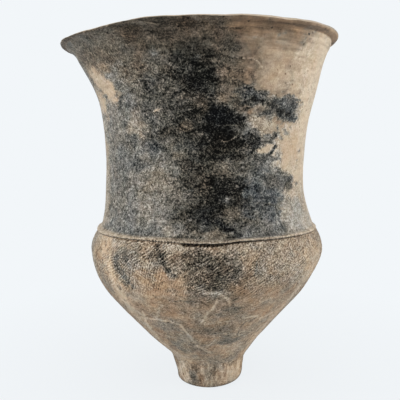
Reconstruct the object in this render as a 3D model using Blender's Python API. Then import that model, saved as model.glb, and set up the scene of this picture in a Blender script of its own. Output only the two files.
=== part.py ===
"""A hand-built pottery vase, laid out as the clay pieces that its potter joined wet.

A stub foot carries a deep cup, and rings of clay, called courses, rise from the cup to a
rolled rim. The courses meet at slanted, luted joints. Where the neck stands on the shoulder
a strip of clay, the cordon, covers the seam outside and a smeared band covers it inside.

Units are metres and +Z is up. The origin is the centre of the foot's resting face, and
someone who faces the vase from -Y has +X on the right.
"""

import math

import bmesh
import bpy

MM = 0.001

# Heights, stacked from the resting face up
FOOT_HEIGHT = 24.0 * MM
CONE_RISE = 56.5 * MM
BELLY_RISE = 44.0 * MM
SHOULDER_RISE = 17.0 * MM
WAIST_RISE = 48.5 * MM
FLARE_RISE = 102.0 * MM
LIP_RISE = 10.6 * MM

# Outer radii of foot, cone and belly, then each step in or out on the way up from the belly
FOOT_EDGE_RADIUS = 29.5 * MM
FOOT_TOP_RADIUS = 33.5 * MM
CONE_TOP_RADIUS = 82.3 * MM
BELLY_RADIUS = 103.2 * MM
SHOULDER_INSET = 7.6 * MM
WAIST_INSET = 8.1 * MM
MOUTH_FLARE = 21.5 * MM
LIP_OVERHANG = 9.7 * MM

# How sharply the neck spreads away from its waist, down to the seam and up to the mouth
NECK_FOOT_POWER = 2.1
FLARE_POWER = 2.45

# Walls and the solid base
BODY_WALL = 8.5 * MM
NECK_WALL = 7.0 * MM
FOOT_EDGE_ROUND = 5.0 * MM
FOOT_FILLET = 4.5 * MM
DISH_DEPTH = 12.0 * MM
FLOOR_THICKNESS = 13.0 * MM
CUP_RISE = 23.0 * MM

# Joints between the pieces
CLEARANCE = 0.3 * MM
JOINT_DROP = 5.0 * MM
SEAM_SHELF = 1.4 * MM
BED_SLOPE = 0.15
BED_MARGIN = 2.0 * MM
SHOULDER_KNEE = 7.0 * MM

# Cordon over the seam outside, and smeared band over it inside
CORDON_HEIGHT = 5.0 * MM
CORDON_PROJECTION = 2.4 * MM
CORDON_LIP = 2.6 * MM
CORDON_FEATHER = 0.7 * MM
CORDON_HOLLOW = (0.7, 0.4)
SEAM_OPENING = 0.8 * MM
SEAM_OPENING_SWING = 0.4 * MM
LUTE_ABOVE_SEAM = 12.0 * MM
LUTE_BELOW_SEAM = 11.0 * MM
LUTE_THICKNESS = 2.6 * MM
LUTE_FEATHER = 0.7 * MM

# Rolled rim, fuller on the +X side where the clay was folded further over
ROLL_HALF_WIDTH = 5.4 * MM
ROLL_HALF_HEIGHT = 2.5 * MM
ROLL_SWELL = 0.45
ROLL_START = math.radians(-75)
ROLL_END = math.radians(180)
THROAT_SHARE = 0.45

# Hand building: how far each joint and the lip were set off the foot's axis, and the mouth's tilt
JOINT_SHIFTS = [0.0, -1.2 * MM, -5.0 * MM, -5.5 * MM, -5.4 * MM, -3.0 * MM,
                -2.6 * MM, -4.9 * MM, -4.3 * MM, -3.1 * MM, -6.5 * MM, -9.8 * MM]
MOUTH_TILT_X = 4.2 * MM
MOUTH_TILT_Y = 1.6 * MM

# Facets, and the span over which a wall's slope is read
SEGMENTS = 48
COURSE_ROWS = 4
CURVE_STEPS = 5
ROLL_STEPS = 9
HALVINGS = 40
SHARP_ANGLE = math.radians(40)
SLOPE_STEP = 0.5 * MM

# Colours of the fired clay, and how rough each surface was left
FOOT_CLAY = (0.20, 0.165, 0.13)
CUP_CLAY = (0.25, 0.20, 0.155)
CORD_MARKED_CLAY = (0.30, 0.235, 0.175)
BURNISHED_CLAY = (0.16, 0.148, 0.135)
CORDON_CLAY = (0.26, 0.215, 0.165)
SMEARED_CLAY = (0.12, 0.11, 0.10)
RIM_CLAY = (0.24, 0.20, 0.155)
MATTE = 0.85
BURNISHED = 0.62
WORN = 0.72

# Heights and radii of the main levels
CONE_TOP_Z = FOOT_HEIGHT + CONE_RISE
BELLY_Z = CONE_TOP_Z + BELLY_RISE
SEAM_Z = BELLY_Z + SHOULDER_RISE
WAIST_Z = SEAM_Z + WAIST_RISE
MOUTH_Z = WAIST_Z + FLARE_RISE
TOP_Z = MOUTH_Z + LIP_RISE
DISH_Z = FOOT_HEIGHT - DISH_DEPTH
FLOOR_Z = DISH_Z + FLOOR_THICKNESS
CUP_TOP_Z = FLOOR_Z + CUP_RISE
NECK_FOOT_RADIUS = BELLY_RADIUS - SHOULDER_INSET
SEAM_RADIUS = NECK_FOOT_RADIUS + SEAM_SHELF
WAIST_RADIUS = NECK_FOOT_RADIUS - WAIST_INSET
MOUTH_RADIUS = WAIST_RADIUS + MOUTH_FLARE
RIM_RADIUS = MOUTH_RADIUS + LIP_OVERHANG
CONE_SLOPE = (CONE_TOP_RADIUS - FOOT_TOP_RADIUS) / CONE_RISE
FOOT_SLOPE = (FOOT_TOP_RADIUS - FOOT_EDGE_RADIUS) / (FOOT_HEIGHT - FOOT_EDGE_ROUND)

BODY_COURSES = ["cone_course_lower", "cone_course_upper", "belly_course"]
NECK_COURSES = ["neck_course_lower", "neck_course_middle", "neck_course_upper", "mouth_course"]


def mix(low, high, share):
    return low + (high - low) * share


def steps(low, high, count):
    """Evenly spaced values from low to high, both included."""
    return [mix(low, high, index / (count - 1)) for index in range(count)]


def smooth(share):
    share = min(max(share, 0.0), 1.0)
    return share * share * (3 - 2 * share)


def bezier(start, control, end, share):
    """Point of the curve that leaves start towards control and reaches end from it."""
    first = [mix(a, b, share) for a, b in zip(start, control)]
    second = [mix(a, b, share) for a, b in zip(control, end)]
    return tuple(mix(a, b, share) for a, b in zip(first, second))


def bezier_points(start, control, end):
    return [bezier(start, control, end, share) for share in steps(0, 1, CURVE_STEPS)]


def bezier_radius(start, control, end, height):
    """Radius where a curve that only climbs passes the height."""
    low, high = 0.0, 1.0
    for _ in range(HALVINGS):
        middle = (low + high) / 2
        if bezier(start, control, end, middle)[1] < height:
            low = middle
        else:
            high = middle
    return bezier(start, control, end, low)[0]


BODY_JOINTS = steps(CUP_TOP_Z, BELLY_Z, len(BODY_COURSES) + 1)
NECK_JOINTS = steps(SEAM_Z, MOUTH_Z, len(NECK_COURSES) + 1)
SHIFT_HEIGHTS = [FOOT_EDGE_ROUND, FOOT_HEIGHT] + BODY_JOINTS + NECK_JOINTS + [TOP_Z]


def body_radius(height):
    """Outside of foot, cone, belly and shoulder."""
    if height <= FOOT_HEIGHT - FOOT_FILLET:
        return FOOT_TOP_RADIUS - FOOT_SLOPE * (FOOT_HEIGHT - height)
    if height < FOOT_HEIGHT + FOOT_FILLET:
        start = (FOOT_TOP_RADIUS - FOOT_SLOPE * FOOT_FILLET, FOOT_HEIGHT - FOOT_FILLET)
        end = (FOOT_TOP_RADIUS + CONE_SLOPE * FOOT_FILLET, FOOT_HEIGHT + FOOT_FILLET)
        return bezier_radius(start, (FOOT_TOP_RADIUS, FOOT_HEIGHT), end, height)
    if height <= CONE_TOP_Z:
        return FOOT_TOP_RADIUS + CONE_SLOPE * (height - FOOT_HEIGHT)
    widest = (BELLY_RADIUS, BELLY_Z)
    if height <= BELLY_Z:
        turn = CONE_TOP_Z + (BELLY_RADIUS - CONE_TOP_RADIUS) / CONE_SLOPE
        control = (BELLY_RADIUS, min(turn, BELLY_Z))
        return bezier_radius((CONE_TOP_RADIUS, CONE_TOP_Z), control, widest, height)
    knee = (BELLY_RADIUS, min(BELLY_Z + SHOULDER_KNEE, SEAM_Z))
    return bezier_radius(widest, knee, (SEAM_RADIUS, SEAM_Z), height)


def neck_radius(height):
    """Outside of the neck, waisted between the seam and the mouth."""
    if height < WAIST_Z:
        share = (WAIST_Z - height) / WAIST_RISE
        return WAIST_RADIUS + WAIST_INSET * share ** NECK_FOOT_POWER
    share = (height - WAIST_Z) / FLARE_RISE
    return WAIST_RADIUS + MOUTH_FLARE * share ** FLARE_POWER


def inside(radius_at, wall, height):
    """Inner radius of a wall whose thickness is measured square to its outer face."""
    rise = radius_at(height + SLOPE_STEP) - radius_at(height - SLOPE_STEP)
    return radius_at(height) - wall * math.hypot(1, rise / (2 * SLOPE_STEP))


def body_inside(height):
    return inside(body_radius, BODY_WALL, min(height, SEAM_Z - SLOPE_STEP))


def neck_inside(height):
    return inside(neck_radius, NECK_WALL, height)


def bed_height(radius):
    """Top face of the shoulder, which the neck and the cordon stand on."""
    return SEAM_Z + BED_SLOPE * (SEAM_RADIUS - radius)


def hand_formed(radius, height, angle):
    """Place of a turned point on the vase as the hand left it."""
    shift = JOINT_SHIFTS[0]
    spans = zip(SHIFT_HEIGHTS, SHIFT_HEIGHTS[1:], JOINT_SHIFTS, JOINT_SHIFTS[1:])
    for low, high, before, after in spans:
        if height > low:
            shift = mix(before, after, smooth((height - low) / (high - low)))
    lift = smooth((height - WAIST_Z) / (TOP_Z - WAIST_Z))
    tilt = MOUTH_TILT_X * math.cos(angle) + MOUTH_TILT_Y * math.sin(angle)
    return (radius * math.cos(angle) + shift, radius * math.sin(angle), height + lift * tilt)


def clay(name, color, roughness):
    material = bpy.data.materials.new(name)
    material.use_nodes = True
    shader = material.node_tree.nodes["Principled BSDF"]
    shader.inputs["Base Color"].default_value = (*color, 1.0)
    shader.inputs["Roughness"].default_value = roughness
    shader.inputs["Metallic"].default_value = 0.0
    material.diffuse_color = (*color, 1.0)
    return material


def lofted(name, section_at, color, roughness):
    """Closed body through one section for each angle; a point of radius 0 lies on the axis."""
    shape = bmesh.new()
    angles = [math.tau * index / SEGMENTS for index in range(SEGMENTS)]
    sections = [section_at(angle) for angle in angles]
    rings = []
    for index, (radius, height) in enumerate(sections[0]):
        if radius == 0:
            rings.append([shape.verts.new(hand_formed(0, height, 0))] * SEGMENTS)
            continue
        places = [hand_formed(*section[index], angle) for section, angle in zip(sections, angles)]
        rings.append([shape.verts.new(place) for place in places])
    on_axis = sections[0][0][0] == 0
    following = rings[1:] if on_axis else rings[1:] + rings[:1]
    for ring, other in zip(rings, following):
        for index in range(SEGMENTS):
            beside = (index + 1) % SEGMENTS
            corners = [ring[index], ring[beside], other[beside], other[index]]
            shape.faces.new(dict.fromkeys(corners))
    bmesh.ops.recalc_face_normals(shape, faces=shape.faces)
    mesh = bpy.data.meshes.new(name)
    shape.to_mesh(mesh)
    shape.free()
    mesh.shade_smooth()
    mesh.set_sharp_from_angle(angle=SHARP_ANGLE)
    mesh.materials.append(clay(name, color, roughness))
    piece = bpy.data.objects.new(name, mesh)
    bpy.context.scene.collection.objects.link(piece)


def turned(name, section, color, roughness):
    lofted(name, lambda angle: section, color, roughness)


def dish_points(raised):
    """Hollow in the top of the foot, from its edge in to the axis, raised by a clearance."""
    edge = (body_radius(FOOT_HEIGHT), FOOT_HEIGHT + raised)
    return bezier_points(edge, (edge[0] / 2, DISH_Z + raised), (0.0, DISH_Z + raised))


def make_foot():
    flat_radius = FOOT_EDGE_RADIUS - FOOT_EDGE_ROUND
    underside = [(0.0, 0.0), (flat_radius, 0.0)]
    corner = (FOOT_EDGE_RADIUS, 0.0)
    rounding = bezier_points(underside[-1], corner, (FOOT_EDGE_RADIUS, FOOT_EDGE_ROUND))
    side = [(body_radius(z), z) for z in steps(FOOT_EDGE_ROUND, FOOT_HEIGHT, COURSE_ROWS)]
    section = underside + rounding[1:] + side[1:-1] + dish_points(0.0)
    turned("foot_stub", section, FOOT_CLAY, MATTE)


def make_cup():
    """Thick cup bedded in the foot's hollow, with a round-bottomed well inside."""
    bedded = list(reversed(dish_points(CLEARANCE)))
    heights = steps(FOOT_HEIGHT + CLEARANCE, CUP_TOP_Z, COURSE_ROWS)
    outer = [(body_radius(z), z) for z in heights]
    well_top = CUP_TOP_Z - JOINT_DROP
    well_radius = body_inside(well_top)
    corner = (well_radius - CONE_SLOPE * (well_top - FLOOR_Z), FLOOR_Z)
    well = bezier_points((well_radius, well_top), corner, (0.0, FLOOR_Z))
    turned("base_cup", bedded[:-1] + outer + well, CUP_CLAY, MATTE)


def course(name, radius_at, inside_at, low, high, color, roughness):
    """Ring of clay between two slanted joints, whose inner edges lie lower than the outer."""
    outer = [(radius_at(z), z) for z in steps(low + CLEARANCE, high, COURSE_ROWS)]
    dropped = steps(high - JOINT_DROP, low - JOINT_DROP + CLEARANCE, COURSE_ROWS)
    inner = [(inside_at(z), z) for z in dropped]
    turned(name, outer + inner, color, roughness)


def make_body_courses():
    for name, low, high in zip(BODY_COURSES, BODY_JOINTS, BODY_JOINTS[1:]):
        course(name, body_radius, body_inside, low, high, CORD_MARKED_CLAY, MATTE)


def shoulder_inner():
    """Inside of the shoulder from its low joint up to the bed."""
    low = BELLY_Z - JOINT_DROP + CLEARANCE
    rising = [(body_inside(z), z) for z in steps(low, SEAM_Z - BED_MARGIN, COURSE_ROWS)]
    bed_inner = neck_inside(SEAM_Z)
    return rising + [(bed_inner, bed_height(bed_inner))]


def make_shoulder():
    """Short ring that turns in over the belly and ends in the bed for the neck."""
    outer = [(body_radius(z), z) for z in steps(BELLY_Z + CLEARANCE, SEAM_Z, CURVE_STEPS)]
    section = outer + list(reversed(shoulder_inner()))
    turned("shoulder_course", section, CORD_MARKED_CLAY, MATTE)


def first_neck_inner(high):
    """Inside of the lowest neck course from the bed up to its high joint."""
    bed_inner = neck_inside(SEAM_Z)
    bed = bed_height(bed_inner) + CLEARANCE
    rising = steps(bed, high - JOINT_DROP, COURSE_ROWS)
    return [(bed_inner, bed)] + [(neck_inside(z), z) for z in rising[1:]]


def make_neck_courses():
    base = bed_height(NECK_FOOT_RADIUS) + CLEARANCE
    outer = [(neck_radius(z), z) for z in steps(base, NECK_JOINTS[1], COURSE_ROWS)]
    section = outer + list(reversed(first_neck_inner(NECK_JOINTS[1])))
    turned(NECK_COURSES[0], section, BURNISHED_CLAY, BURNISHED)
    for name, low, high in zip(NECK_COURSES[1:], NECK_JOINTS[1:], NECK_JOINTS[2:]):
        course(name, neck_radius, neck_inside, low, high, BURNISHED_CLAY, BURNISHED)


def cordon_section(angle):
    """Wedge against the neck, lifted off the shoulder along its lip, most of all at the front."""
    opening = SEAM_OPENING - SEAM_OPENING_SWING * math.sin(angle)
    foot = bed_height(NECK_FOOT_RADIUS) + 2 * CLEARANCE
    top = foot + CORDON_HEIGHT
    against = [(neck_radius(z) + CLEARANCE, z) for z in steps(top, foot, COURSE_ROWS)]
    lip = NECK_FOOT_RADIUS + CORDON_PROJECTION
    under = SEAM_Z + CLEARANCE + opening
    upper = (lip - CORDON_LIP / 3, under + CORDON_LIP)
    round_lip = [(upper[0], under), (lip, under + CORDON_LIP / 2)]
    feather = (against[0][0] + CORDON_FEATHER, top)
    bend = [mix(low, high, share) for low, high, share in zip(upper, feather, CORDON_HOLLOW)]
    return against + round_lip + bezier_points(upper, bend, feather)


def make_cordon():
    lofted("neck_cordon", cordon_section, CORDON_CLAY, WORN)


def radius_along(wall, height):
    """Radius of a rising row of points at a height between its ends."""
    for (near, low), (far, high) in zip(wall, wall[1:]):
        if low <= height <= high:
            return mix(near, far, (height - low) / (high - low))
    return wall[-1][0]


def make_lute():
    """Band of clay smeared over the seam inside, thickest at the seam."""
    low = SEAM_Z - LUTE_BELOW_SEAM
    high = SEAM_Z + LUTE_ABOVE_SEAM
    wall = shoulder_inner() + first_neck_inner(NECK_JOINTS[1])
    covered = [point for point in wall if low < point[1] < high]
    ends = [(radius_along(wall, low), low), (radius_along(wall, high), high)]
    back = []
    front = []
    for radius, height in [ends[0]] + covered + [ends[1]]:
        reach = LUTE_ABOVE_SEAM if height > SEAM_Z else LUTE_BELOW_SEAM
        swell = smooth(1 - abs(height - SEAM_Z) / reach)
        back.append((radius - CLEARANCE, height))
        front.append((radius - CLEARANCE - mix(LUTE_FEATHER, LUTE_THICKNESS, swell), height))
    turned("inner_lute", back + list(reversed(front)), SMEARED_CLAY, MATTE)


def rim_section(angle):
    """Bead on the mouth's edge, whose height swells towards +X."""
    half_height = ROLL_HALF_HEIGHT * (1 + ROLL_SWELL * math.cos(angle))
    center = (RIM_RADIUS - ROLL_HALF_WIDTH, TOP_Z - half_height)
    bead = []
    for turn in steps(ROLL_START, ROLL_END, ROLL_STEPS):
        across = center[0] + ROLL_HALF_WIDTH * math.cos(turn)
        bead.append((across, center[1] + half_height * math.sin(turn)))
    base = MOUTH_Z + CLEARANCE
    inner = base - JOINT_DROP
    throat = (mix(neck_inside(inner), bead[-1][0], THROAT_SHARE), MOUTH_Z)
    return [(neck_radius(base), base)] + bead + [throat, (neck_inside(inner), inner)]


def make_rim():
    lofted("rim_roll", rim_section, RIM_CLAY, WORN)


def main():
    for old in list(bpy.data.objects):
        bpy.data.objects.remove(old, do_unlink=True)
    make_foot()
    make_cup()
    make_body_courses()
    make_shoulder()
    make_neck_courses()
    make_cordon()
    make_lute()
    make_rim()


main()
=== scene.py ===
"""Looks of a hand-built pottery vase: smoke-clouded neck, cord-marked shoulder, rubbed foot.

Each piece of clay stands for the solid of the same name. Its skin is turned from the vase's
profile and then takes what hands, paddle and fire left on it: lumps, wiping, cord marks, smoke.
Units are metres, +Z is up and the side that the photograph shows faces -Y.
"""

import itertools
import math

import bpy
import numpy as np
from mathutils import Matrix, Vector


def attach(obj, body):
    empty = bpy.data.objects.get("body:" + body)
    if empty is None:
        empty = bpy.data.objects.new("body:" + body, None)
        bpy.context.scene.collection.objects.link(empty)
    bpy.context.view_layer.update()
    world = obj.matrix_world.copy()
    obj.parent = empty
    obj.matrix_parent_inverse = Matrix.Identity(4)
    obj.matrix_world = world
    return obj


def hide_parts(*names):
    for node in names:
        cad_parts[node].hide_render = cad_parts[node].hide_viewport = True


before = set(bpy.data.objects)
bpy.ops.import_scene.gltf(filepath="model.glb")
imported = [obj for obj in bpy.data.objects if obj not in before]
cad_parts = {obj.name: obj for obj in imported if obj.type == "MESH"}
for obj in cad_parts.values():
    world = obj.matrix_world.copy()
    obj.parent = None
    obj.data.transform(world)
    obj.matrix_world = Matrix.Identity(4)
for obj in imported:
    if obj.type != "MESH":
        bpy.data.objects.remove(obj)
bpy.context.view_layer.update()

MM = 0.001

# Camera of the photograph
CAMERA_PLACE = (-8.9 * MM, -479 * MM, 213.5 * MM)
CAMERA_PITCH = math.radians(5.82)
CAMERA_LENS = 47.7
CAMERA_SENSOR = 36.0

# Heights and outer radii of the vase, the same as its solids have
FOOT_HEIGHT = 24.0 * MM
CUP_TOP_Z = 48.0 * MM
CONE_TOP_Z = 80.5 * MM
BELLY_Z = 124.5 * MM
SEAM_Z = 141.5 * MM
WAIST_Z = 190.0 * MM
MOUTH_Z = 292.0 * MM
TOP_Z = 302.6 * MM
FOOT_EDGE_RADIUS = 29.5 * MM
FOOT_TOP_RADIUS = 33.5 * MM
CONE_TOP_RADIUS = 82.3 * MM
BELLY_RADIUS = 103.2 * MM
SHOULDER_INSET = 7.6 * MM
WAIST_INSET = 8.1 * MM
MOUTH_FLARE = 21.5 * MM
LIP_OVERHANG = 9.7 * MM
NECK_FOOT_POWER = 2.1
FLARE_POWER = 2.45

# Walls, base and joints, the same as the solids have
BODY_WALL = 8.5 * MM
NECK_WALL = 7.0 * MM
FOOT_EDGE_ROUND = 5.0 * MM
FOOT_FILLET = 4.5 * MM
DISH_DEPTH = 12.0 * MM
FLOOR_THICKNESS = 13.0 * MM
JOINT_DROP = 5.0 * MM
SEAM_SHELF = 1.4 * MM
BED_SLOPE = 0.15
BED_MARGIN = 2.0 * MM
SHOULDER_KNEE = 7.0 * MM
CORDON_HEIGHT = 5.0 * MM
CORDON_LIP = 2.6 * MM
CORDON_HOLLOW = (0.7, 0.4)
LUTE_ABOVE_SEAM = 12.0 * MM
LUTE_BELOW_SEAM = 11.0 * MM
LUTE_THICKNESS = 2.6 * MM
LUTE_EVENING = np.array([-3, -1.5, 0, 1.5, 3]) * MM
ROLL_HALF_WIDTH = 5.4 * MM
ROLL_START = math.radians(-75)
ROLL_END = math.radians(180)
ROLL_STEPS = 8
THROAT_SHARE = 0.45
CREASE_START = 0.2
CREASE_DROP = 0.4 * MM
JOINT_SHIFTS = np.array([0.0, -1.2, -5.0, -5.5, -5.4, -3.0, -2.6, -4.9, -4.3, -3.1, -6.5, -9.8]) * MM
MOUTH_TILT_X = 4.2 * MM
MOUTH_TILT_Y = 1.6 * MM
SLOPE_STEP = 0.5 * MM

NECK_FOOT_RADIUS = BELLY_RADIUS - SHOULDER_INSET
SEAM_RADIUS = NECK_FOOT_RADIUS + SEAM_SHELF
WAIST_RADIUS = NECK_FOOT_RADIUS - WAIST_INSET
RIM_RADIUS = WAIST_RADIUS + MOUTH_FLARE + LIP_OVERHANG
DISH_Z = FOOT_HEIGHT - DISH_DEPTH
FLOOR_Z = DISH_Z + FLOOR_THICKNESS
CONE_SLOPE = (CONE_TOP_RADIUS - FOOT_TOP_RADIUS) / (CONE_TOP_Z - FOOT_HEIGHT)
FOOT_SLOPE = (FOOT_TOP_RADIUS - FOOT_EDGE_RADIUS) / (FOOT_HEIGHT - FOOT_EDGE_ROUND)
BODY_JOINTS = np.linspace(CUP_TOP_Z, BELLY_Z, 4)
NECK_JOINTS = np.linspace(SEAM_Z, MOUTH_Z, 5)
SHIFT_HEIGHTS = np.concatenate([[FOOT_EDGE_ROUND, FOOT_HEIGHT], BODY_JOINTS, NECK_JOINTS, [TOP_Z]])

# Fineness of the skins
COLUMNS = 640
NECK_COLUMNS = 960
CORD_COLUMNS = 1440
ROW = 1.0 * MM
NECK_ROW = 0.75 * MM
CORD_ROW = 0.45 * MM
INNER_ROW = 2.5 * MM
CORNER_CUTS = 3

# Relief that the hands left, the foot's worn right edge, and the tuck under the belly. Each layer of noise,
# here and below, has its depth, the size of its grain, a seed and how many ever finer layers it adds up
SEED = 11
LUMP = (0.5 * MM, 55 * MM, 1, 1)
FACET = (0.2 * MM, 19 * MM, 2, 1)
WIPE = (0.05 * MM, np.array([30, 30, 2.2]) * MM, 3, 1)
RIM_WIPE = (0.22 * MM, np.array([42, 42, 4.0]) * MM, 4, 1)
RIM_WIPE_Z = 276 * MM
RIM_WIPE_FADE = 12 * MM
INSIDE_LUMPS = 1.5
CONE_WIPE = (0.1 * MM, np.array([30, 30, 2.2]) * MM, 9, 1)
FINGER = (0.45 * MM, np.array([60, 60, 11]) * MM, 5, 1)
SCRAPE = 0.28 * MM
SCRAPES = (1.0, np.array([3.0, 3.0, 13]) * MM, 9, 2)
# Painted shade in the scrapes and painted light on their ridges
SCRAPE_SHADE = 0.3
FOOT_RIGHT_ROUND = 12.5 * MM
FOOT_ROUND_START = -0.3
FOOT_FLAT_SHARES = (0.04, 0.3, 0.6, 0.9)
TUCK = 0.7 * MM
TUCK_Z = 107 * MM
TUCK_REACH = 20 * MM

# Lip: how far it lies above or below the mouth's plane, by azimuth, and finer waves up and out
LIP_AZIMUTHS = [-180, -110, -80, -57, -42, -33, -27, -20, -13, -8, 0, 7, 15, 22, 30, 40, 47, 56, 65, 80,
                120, 180]
LIP_LIFTS = np.array([0, 0.5, 1.0, -0.3, -1.0, -0.2, 0.5, 1.0, 0.9, 0.5, 0.5, -0.1, 0.4, 0.2, -0.2, 0.15,
                      0.9, 1.1, 1.3, 1.3, 0.4, 0]) * MM
RIM_WAVES = [(0.2 * MM, 16 * MM, seed, 3) for seed in (60, 65)]

# Cord marks that the paddle pressed into shoulder and belly
CORD_PITCH = 2.0 * MM
CORD_PITCH_SPREAD = (0.8, 1.2)
CORD_TWIST = 3.2 * MM
CORD_TWIST_SHARE = 0.18
CORD_DEPTH = 0.42 * MM
# Painted shade in the cords' grooves and painted light on their ridges
CORD_SHADE = 0.5
CORD_TILT = 37.0
CORD_TILT_SPREAD = 9.0
CORD_WANDER = (0.32, 7 * MM, 6, 1)
CORD_KEPT = 0.6
CORD_PATCHES = (1.1, 4 * MM, 8, 1)
CORD_LOW_Z = 90 * MM
CORD_FADE = 20 * MM
PADDLE_RISE = 13 * MM
PADDLE_STEP = 9.0
PADDLE_EDGE = 1.0 * MM
PADDLE_RAGGED = (4 * MM, 9 * MM, 7, 1)
CORD_AZIMUTHS = [-180, -75, -62, -46, -34, -8, 2, 30, 180]
CORD_SHARES = [1, 0.75, 0.5, 0.65, 0.8, 0.7, 0.6, 0.55, 0.8]
COMB_TILT = 76.0
COMB_AZIMUTHS = (-33, -8)
COMB_FADE = 6
COMB_TOP_Z = 121 * MM
COMB_TOP_FADE = 8 * MM
COMB_CALM = 0.45
PEBBLE = (0.14 * MM, 2.2 * MM, 10, 1)

# Cordon by azimuth: how far its lip stands off the shoulder, how the seam rises and falls, how far the lip
# hangs down and juts out, then the tone of the painted shade in the seam, the reach of that painted shade
# and of the wear on the lip
SEAM_AZIMUTHS = [-180, -110, -85, -62, -45, -31, -29, -12.8, -11.3, 3, 16, 42, 75, 110, 180]
OPENINGS = np.array([0.4, 0.4, 0.3, 0.15, 0.2, 0.15, 0.05, 0.05, 0.9, 0.95, 0.6, 0.3, 0.05, 0.3, 0.4]) * MM
SEAM_LIFTS = np.array([0, 0, 0, 0, 0, 0.4, 0.5, 0.2, -0.7, -1.0, 1.2, 1.2, 0.3, 0, 0]) * MM
DROOPS = np.array([0, 0.6, 2.0, 1.2, 0.3, 0, 0, 0, 0, 0, 0, 0, 0, 0, 0]) * MM
JUTS = np.array([2.2, 2.8, 3.3, 2.7, 2.1, 1.8, 1.5, 1.5, 2.4, 2.6, 2.4, 2.0, 1.4, 1.7, 2.2]) * MM
SEAM_SHADE_TONES = [0.8, 0.7, 0.58, 0.58, 0.62, 0.6, 0.5, 0.5, 0.98, 0.98, 0.8, 0.56, 0.3, 0.5, 0.8]
SEAM_SHADE_REACHES = np.array([0.5, 0.5, 0.6, 1.1, 1.1, 0.8, 0.05, 0.05, 0.45, 0.45, 0.25, 0.1, 0.05, 0.3, 0.5]) * MM
# The seam's painted shade: how sharp its edge is, and its warmth
SEAM_SHADE_EDGE = 1.5
SEAM_SHADE_WARMTH = 0.8
LIP_WEARS = np.array([2.4, 2.4, 2.4, 2.4, 2.4, 2.4, 3.2, 5.5, 6.5, 5.0, 1.8, 1.4, 3.5, 2.4, 2.4]) * MM
STITCH_AZIMUTHS = (-29, -12.3)
STITCH_STEP = 1.5
STITCH = 0.7 * MM
# Stitch holes are painted darker, as shade in them
STITCH_SHADE_TONE = 0.4
STITCH_WAVES = [(0.6, 2.3), (0.4, 5.1)]
CORDON_WAVE = (0.22 * MM, 9 * MM, 55, 2)
CORDON_SUNK = 0.35 * MM
CORDON_TAIL = 2 * MM
WAVED_OPENING = 0.6 * MM
RIDGE_TONE = 0.22
RIDGE_WARMTH = 0.12
RIDGE_KEPT = 0.3
RIDGE_COVER = 0.85
RIDGE_RISE = 2.0 * MM
# Painted shade on the cordon where it faces down: the upward share of its facing below which it starts, and
# how soon it is full
DOWNWARD_SHADE_FACING = 0.1
DOWNWARD_SHADE_FADE = 0.35
UNDERCUT = 2.6 * MM
UNDERCUT_TOP = 145.5 * MM
UNDERCUT_FADE = 2 * MM

# Ragged edges of smoke and wash, and how far their outlines stray
RAGGED = (0.42, np.array([17, 17, 8]) * MM, 20, 3)
FRAYED = (0.3, np.array([5.5, 5.5, 3.2]) * MM, 30, 4)
STRAYS = [(0.9 * MM, 7 * MM, seed, 1) for seed in (38, 39)]
BREAKS = (1.8, 4 * MM, 40, 1)

# Mottling of the clay, by the tone under it, and pale wisps over the smoke
MIDDLE_TONE = 0.5
MOTTLE = 0.13
BODY_MOTTLE = 0.07
MOTTLES = (1.0, np.array([5.0, 5.0, 4.0]) * MM, 44, 4)
MOTTLE_WARPS = [(4.5 * MM, 11 * MM, seed, 1) for seed in (41, 42, 43)]
MOTTLE_TONES = [0.1, 0.3, 0.5, 0.85, 1.0]
MOTTLE_SHARES = [0.3, 0.5, 1.1, 1.4, 1.0]
MOTTLE_WARMTH = 0.6
STREAKS = (1.0, np.array([10, 10, 3.0]) * MM, 54, 3)
STREAK_TONE = 0.5
STREAK_FADE = 0.25
TINT = (0.3, 16 * MM, 52, 3)
WISP = 0.2
WISPS = (1.0, np.array([11, 11, 4.5]) * MM, 48, 2)
WISP_WIDTH = 0.07
WISP_KEPT = 0.3
WISP_PATCHES = (1.2, np.array([17, 17, 8]) * MM, 50, 1)
WISP_TONE = 0.45
WISP_FADE = 0.3

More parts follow.
